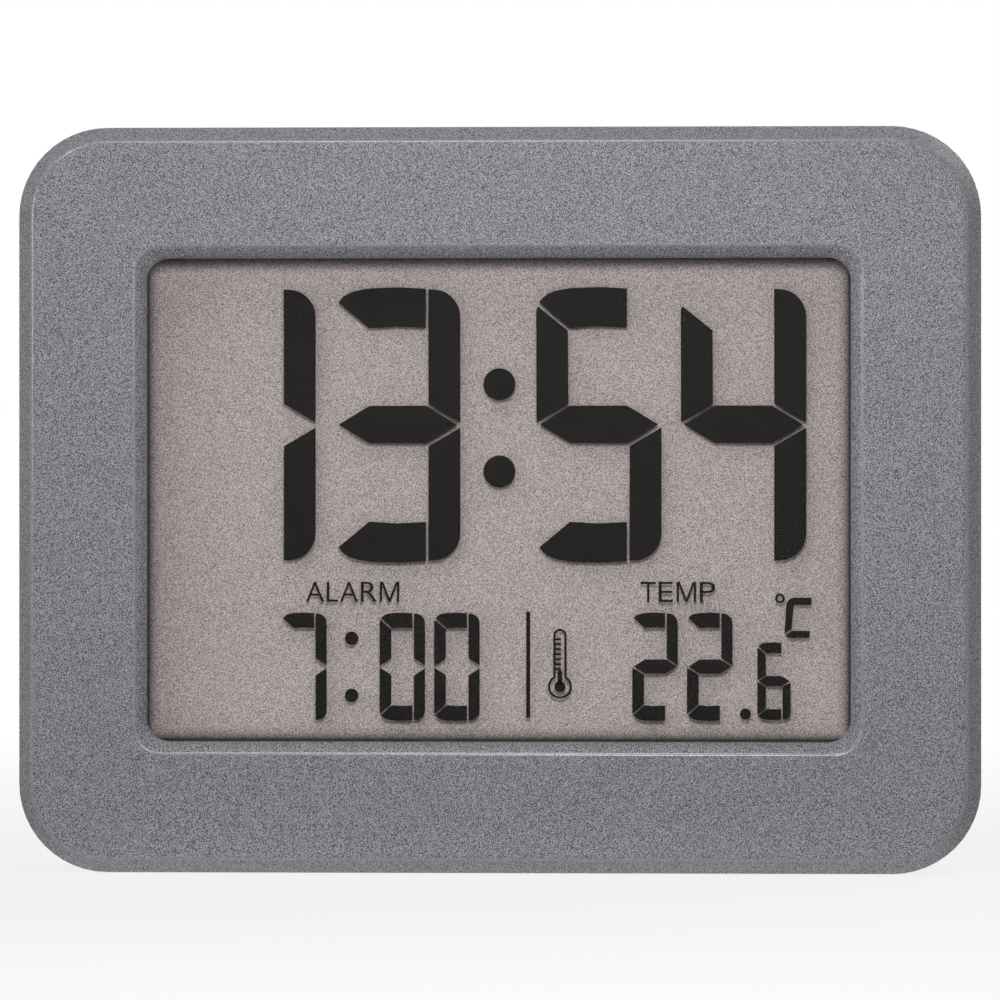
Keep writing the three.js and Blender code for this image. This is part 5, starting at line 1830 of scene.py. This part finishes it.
@dataclass
class Studio:
    """Pale floor, soft lights and the camera."""

    distance: float = 0.7
    turn: float = 2.1
    aim: float = 0.0003
    lens: float = 187.5
    ambient: float = 0.16
    floor_tone: float = 0.42
    floor_glow: float = 0.06
    floor_white: float = 0.84
    floor_fade: Point = (0.1, 0.4)
    # A card-sized patch of floor under the clock glows as a hidden fill light: half size, glow, fade
    card_half: Point = (0.068, 0.0195)
    card_glow: float = 0.9
    card_fade: Point = (0.9, 1.1)
    lamps: tuple[Lamp, ...] = (
        Lamp("front_light", 4.0, 19.0, 0.27, 0.06, 0.352),
        Lamp("top_light", -8.0, 66.0, 0.5, 0.15, 0.5),
        Lamp("corner_light", -42.0, 42.0, 0.6, 0.15, 0.45),
        Lamp("left_light", -62.0, 10.0, 0.6, 0.15, 0.45),
        Lamp("back_light", 150.0, 26.0, 1.2, 0.8, 13.0),
    )

    def build(self) -> None:
        """Sets the floor, the lights, the sky and the camera."""
        scene = bpy.context.scene
        scene.view_settings.view_transform = "Standard"
        low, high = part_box("front_case")
        middle = Vector((0.0, low.y, (low.z + high.z) / 2))
        self.floor()
        self.sky()
        for lamp in self.lamps:
            lamp.light(middle)
        camera = bpy.data.cameras.new("camera")
        camera.lens = self.lens
        camera.sensor_width = 36.0
        camera.clip_start = 0.01
        holder = bpy.data.objects.new("camera", camera)
        turn = math.radians(self.turn)
        target = middle + Vector((self.aim, 0.0, 0.0))
        holder.location = target + self.distance * Vector((math.sin(turn), -math.cos(turn), 0.0))
        holder.rotation_euler = (target - holder.location).to_track_quat("-Z", "Y").to_euler()
        scene.collection.objects.link(holder)
        scene.camera = holder

    def sky(self) -> None:
        """Sets a white background that lights the object gently."""
        world = bpy.data.worlds.new("studio")
        world.use_nodes = True
        bpy.context.scene.world = world
        nodes = Nodes(world.node_tree)
        background = world.node_tree.nodes["Background"]
        nodes.feed(background.inputs["Color"], (1.0, 1.0, 1.0, 1.0))
        nodes.feed(background.inputs["Strength"], nodes.spread(nodes.seen(), self.ambient, 1.0))

    def floor(self) -> None:
        """Adds the pale floor, which keeps a soft shadow of the clock."""
        bm = bmesh.new()
        below = Matrix.Translation((0.0, 0.0, -0.0001))
        bmesh.ops.create_grid(bm, x_segments=1, y_segments=1, size=6.0, matrix=below)
        mesh = bpy.data.meshes.new("floor")
        bm.to_mesh(mesh)
        bm.free()
        plane = bpy.data.objects.new("floor", mesh)
        bpy.context.scene.collection.objects.link(plane)
        recipe = Recipe("floor_white")
        recipe.set(base_color=grey(self.floor_tone), roughness=0.9, specular_ior_level=0.0)
        glow = recipe.add("ShaderNodeEmission")
        mix = recipe.add("ShaderNodeMixShader")
        recipe.feed(mix.inputs["Fac"], self.floor_share(recipe))
        recipe.feed(mix.inputs[1], recipe.shader.outputs["BSDF"])
        recipe.feed(mix.inputs[2], glow.outputs["Emission"])
        recipe.feed(recipe.tree.nodes["Material Output"].inputs["Surface"], mix.outputs["Shader"])
        mesh.materials.append(recipe.material)

    def floor_share(self, recipe: Recipe) -> NodeSocket:
        """Works out how much of the floor's own white shows.

        Args:
            recipe: The floor's material.

        Returns:
            The share: nearly all for rays that see the floor; for other rays little, but under the clock a
                patch
            the size of a card glows as a hidden fill light.
        """
        reach = recipe.add("ShaderNodeVectorMath")
        reach.operation = "LENGTH"
        recipe.feed(reach.inputs[0], recipe.spot)
        fade = recipe.spread(reach.outputs["Value"], self.floor_white, 1.0, self.floor_fade)
        sides = [recipe.maths("ABSOLUTE", recipe.along(axis)) for axis in ("X", "Y")]
        edges = [recipe.maths("DIVIDE", side, half) for side, half in zip(sides, self.card_half)]
        edge = recipe.maths("MAXIMUM", *edges)
        card = recipe.spread(edge, self.card_glow, self.floor_glow, self.card_fade)
        return recipe.spread(recipe.seen(), card, fade)


def main() -> None:
    """Builds the studio and the clock, piece by piece."""
    logging.basicConfig(level=logging.INFO, format="%(message)s")
    for part in (Studio(), FrontCase(), Display(), RearCover(), StandLeg(), BatteryBay(), Keys(), Works()):
        LOG.info("building %s", type(part).__name__)
        part.build()


if __name__ == "__main__":
    main()
